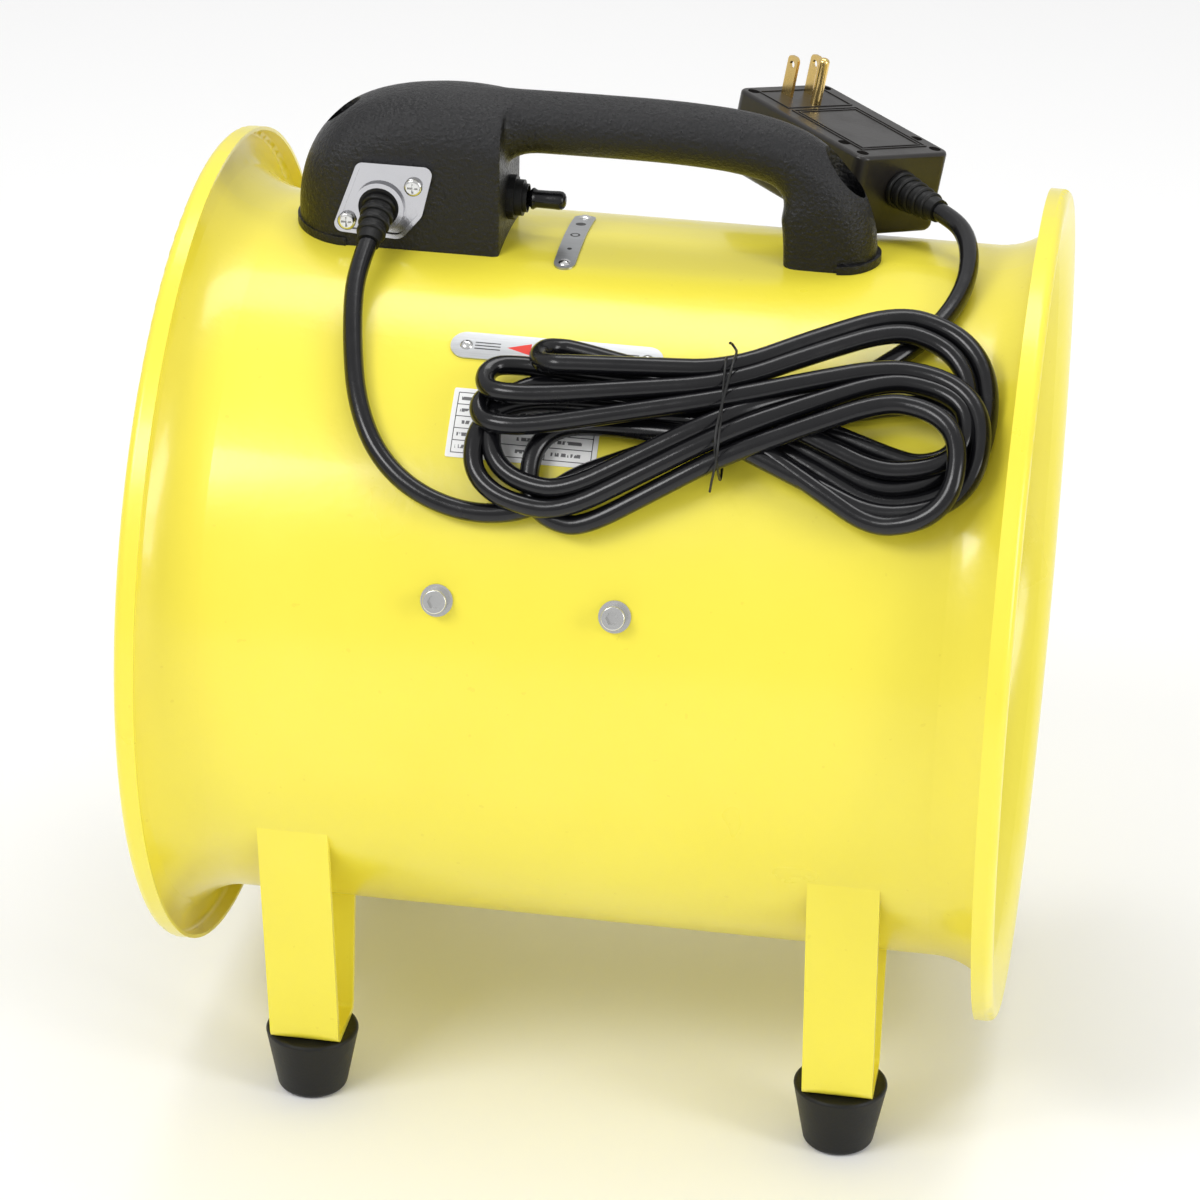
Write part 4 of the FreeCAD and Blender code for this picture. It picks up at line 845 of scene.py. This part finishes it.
# %% Ruled label
label = Finish("ruled white label", (0.88, 0.88, 0.87), 0.28)
u, v = across_flank(label, "rating_label")
rule, entry_height = 0.35 * mm, 1.5 * mm
rows = bars(v, rule, -13 * mm, -7.8 * mm, -2.6 * mm, 2.6 * mm, 7.8 * mm, 13 * mm)
rows = rows & (abs(u) < 28.5 * mm)
columns = bars(u, rule, -28.4 * mm, -9.5 * mm, 9.5 * mm, 28.4 * mm) & (abs(v) < 13 * mm)
writing = bars(v, entry_height, -10.4 * mm, -5.2 * mm, 0.0, 5.2 * mm, 10.4 * mm)
entries = ((abs(u + 21.5 * mm) < 5.5 * mm) | (abs(u - 2 * mm) < 4.5 * mm)
           | (abs(u - 18 * mm) < 6 * mm))
# Noise stretched across the lines breaks each entry into letter-like strokes.
strokes = label.noise(0.0011, 1.0, 0.5, label.scaled(1, 0.2, 0.2)) > 0.46
greeked = writing & entries & strokes
fibre = label.noise(0.0015, 3.0)
paper = label.mix(fibre, (0.86, 0.86, 0.85), (0.91, 0.91, 0.90))
label.feed("Base Color", label.mix((rows | columns) | greeked * 0.85, paper, (0.015, 0.015, 0.02)))
label.feed("Roughness", 0.24 + fibre * 0.12)
label.bump(fibre, 0.00002)
finishes["label_paper"] = label
print("label ready")


# %% [markdown]
# Each solid's name is tied to a finish slot in the record, so the finishes are handed out
# by that table, and the new pieces take the same ones.

# %% Hand out the finishes
def dress(piece, finish):
    piece.data.materials.clear()
    piece.data.materials.append(finish.material)


for row in frame["record"]["subparts"]:
    dress(nodes[row["node"]], finishes[row["material_slot"]])
dress(nodes["switch_plate"], dot_plate)
dress(mains_cord, finishes["cord_jacket"])
dress(handle_body, finishes["handle_plastic"])
print("dressed", len(nodes), "nodes")


# %% [markdown]
# The toggle's lever wears a rubber boot: a small collar that seals the nut and a sleeve
# with a round end. It is a turned shape, so it is a loft through rings whose radii follow
# one profile, which is quicker to adjust than a spin. It moves with the switch. Its finish
# is the cord's, because the boot is glossier than the feet.

# %% Toggle boot
boot_sides = 40
boot_profile = [
    (-44.6, 2.2), (-42.9, 2.9), (-42.0, 3.6), (-41.4, 4.4), (-40.7, 4.6), (-39.9, 4.1),
    (-39.2, 3.75), (-34.0, 3.8), (-29.8, 3.95), (-28.6, 3.75), (-27.7, 3.0), (-27.15, 1.9),
    (-27.0, 0.6),
]


def turned_ring(x, radius, height):
    turns = [2 * math.pi * j / boot_sides for j in range(boot_sides)]
    return [above_axis(x, radius * math.sin(turn), height + radius * math.cos(turn))
            for turn in turns]


boot_rings = [turned_ring(x, radius, toggle_height) for x, radius in boot_profile]
toggle_boot = loft("toggle_boot", boot_rings)
smooth_shade(toggle_boot, 40)
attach(toggle_boot, "toggle")
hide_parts("toggle_lever")
dress(toggle_boot, finishes["cord_jacket"])
print("toggle boot faces", len(toggle_boot.data.polygons))


# %% [markdown]
# A thin coated wire holds the hank at its waist. It goes twice round the strands, crosses
# itself on the outside, and its two ends are left as short tails. The solid model has a
# plain ring there. A curve with a round section gives the real crossing, and it becomes a
# mesh at once because it is stiff and never lies loose.

# %% Tie wire
wire_radius = 0.55 * mm
# Each point is (along the barrel, down the flank, distance from the barrel's axis).
tie_line = [
    (53.6, 30.5, 163.0), (54.6, 27.0, 169.0), (56.0, 24.0, 175.0), (56.6, 17.0, 179.0),
    (56.0, 0.0, 178.8), (54.8, -16.0, 179.3), (54.2, -24.0, 170.0), (54.6, -24.0, 152.2),
    (55.4, 0.0, 152.3), (56.4, 24.5, 152.2), (57.0, 25.0, 172.0), (54.6, 16.0, 179.8),
    (56.2, 0.0, 179.8), (58.0, -15.0, 179.8), (58.2, -23.0, 174.0), (56.8, -27.0, 170.0),
    (54.8, -28.5, 172.0), (55.0, -26.0, 175.0),
]
tie_points = [on_flank(x * mm, hank_angle + down * mm / flank_arc, height * mm)
              for x, down, height in tie_line]
tie_wire = smooth_curve("tie_wire", tie_points, wire_radius, rings=2)
make_active(tie_wire)
bpy.ops.object.convert(target="MESH")
tie_wire = bpy.context.object
smooth_shade(tie_wire, 60)
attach(tie_wire, "frame")
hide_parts("cord_tie")
dress(tie_wire, finishes["guard_wire"])
print("tie wire faces", len(tie_wire.data.polygons))


# %% [markdown]
# The plug's broad face carries moulded panels: a thin raised line round the prongs and
# pair round the part where instructions would be, which is left blank. Each line is a
# plane, inset, with its middle deleted and its rim extruded, then turned with the plug.

# %% Raised lines on the plug
line_width, line_height = 0.7 * mm, 0.4 * mm
plug_place = (Matrix.Translation(Vector((79.4, 74.0, 396.6)) * mm)
              @ Matrix.Rotation(math.radians(-45.0), 4, "Z")
              @ Matrix.Rotation(math.radians(3.1), 4, "Y")
              @ Matrix.Rotation(math.radians(-9.2), 4, "X"))


def raised_line(centre_x, length, width):
    """Raised frame, length by width, at centre_x along the plug's face."""
    deselect()
    bpy.ops.mesh.primitive_plane_add(size=1.0)
    piece = bpy.context.object
    piece.scale = (length * mm, width * mm, 1.0)
    bpy.ops.object.transform_apply(location=False, rotation=False, scale=True)
    bpy.ops.object.mode_set(mode="EDIT")
    bpy.ops.mesh.select_all(action="SELECT")
    bpy.ops.mesh.inset(thickness=line_width)
    bpy.ops.mesh.delete(type="FACE")
    bpy.ops.mesh.select_all(action="SELECT")
    bpy.ops.mesh.extrude_region_move(TRANSFORM_OT_translate={"value": (0, 0, line_height)})
    bpy.ops.mesh.select_all(action="SELECT")
    bpy.ops.mesh.normals_make_consistent(inside=False)
    bpy.ops.object.mode_set(mode="OBJECT")
    piece.matrix_world = plug_place @ Matrix.Translation((centre_x * mm, 0, 0))
    return bake_place(piece, "raised_line")


lines = [raised_line(-26.5, 21.0, 36.0), raised_line(10.5, 48.0, 36.0),
         raised_line(10.5, 44.0, 32.0)]
make_active(lines[0])
for line in lines[1:]:
    line.select_set(True)
bpy.ops.object.join()
plug_lines = bpy.context.object
plug_lines.name = "plug_face_lines"
apply_modifier(plug_lines, "BEVEL", width=0.15 * mm, segments=2, limit_method="ANGLE")
smooth_shade(plug_lines)
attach(plug_lines, "frame")
dress(plug_lines, finishes["plug_plastic"])
print("plug line faces", len(plug_lines.data.polygons))


# %% [markdown]
# A pale seamless floor and big soft lamps suit a glossy yellow machine: their wide edges
# draw long gentle highlights down the barrel. A bright plain world fills the shadows. The
# display is set to show colours as they are, because a film-like curve greys this yellow.

# %% Floor and light
def soft_lamp(name, place, target, size, watts):
    bpy.ops.object.light_add(type="AREA", location=place)
    lamp = bpy.context.object
    lamp.name = name
    lamp.data.shape = "RECTANGLE"
    lamp.data.size, lamp.data.size_y = size
    lamp.data.energy = watts
    lamp.rotation_euler = (Vector(target) - Vector(place)).to_track_quat("-Z", "Y").to_euler()


deselect()
bpy.ops.mesh.primitive_plane_add(size=14.0)
floor = bpy.context.object
floor.name = "floor"
ground = Finish("pale floor", (0.95, 0.95, 0.95), 0.6)
shade = ground.noise(0.5, 2.0)
ground.feed("Base Color", ground.mix(shade, (0.95, 0.95, 0.95), (0.97, 0.97, 0.97)))
dress(floor, ground)

# The world is a little darker at and below the horizon than overhead.
world = bpy.data.worlds.new("studio")
world.use_nodes = True
air = world.node_tree
sky = air.nodes["Background"]
height = air.nodes.new("ShaderNodeSeparateXYZ")
fade = air.nodes.new("ShaderNodeValToRGB")
grey_stops = ((0.0, 0.85), (0.75, 1.0))
for stop, (place, grey) in zip(fade.color_ramp.elements, grey_stops):
    stop.position, stop.color = place, (grey, grey, grey, 1.0)
air.links.new(air.nodes.new("ShaderNodeTexCoord").outputs["Generated"], height.inputs["Vector"])
air.links.new(height.outputs["Z"], fade.inputs["Fac"])
air.links.new(fade.outputs["Color"], sky.inputs["Color"])
sky.inputs["Strength"].default_value = 0.7
bpy.context.scene.world = world
bpy.context.scene.view_settings.view_transform = "Standard"

soft_lamp("key", (-1.1, -1.5, 1.9), (0, 0, 0.22), size=(1.1, 0.7), watts=23)
soft_lamp("side", (1.9, -0.9, 1.0), (0, 0, 0.2), size=(0.6, 1.2), watts=15)
soft_lamp("top", (0.1, 0.6, 2.2), (0, 0, 0.3), size=(1.6, 0.6), watts=14)
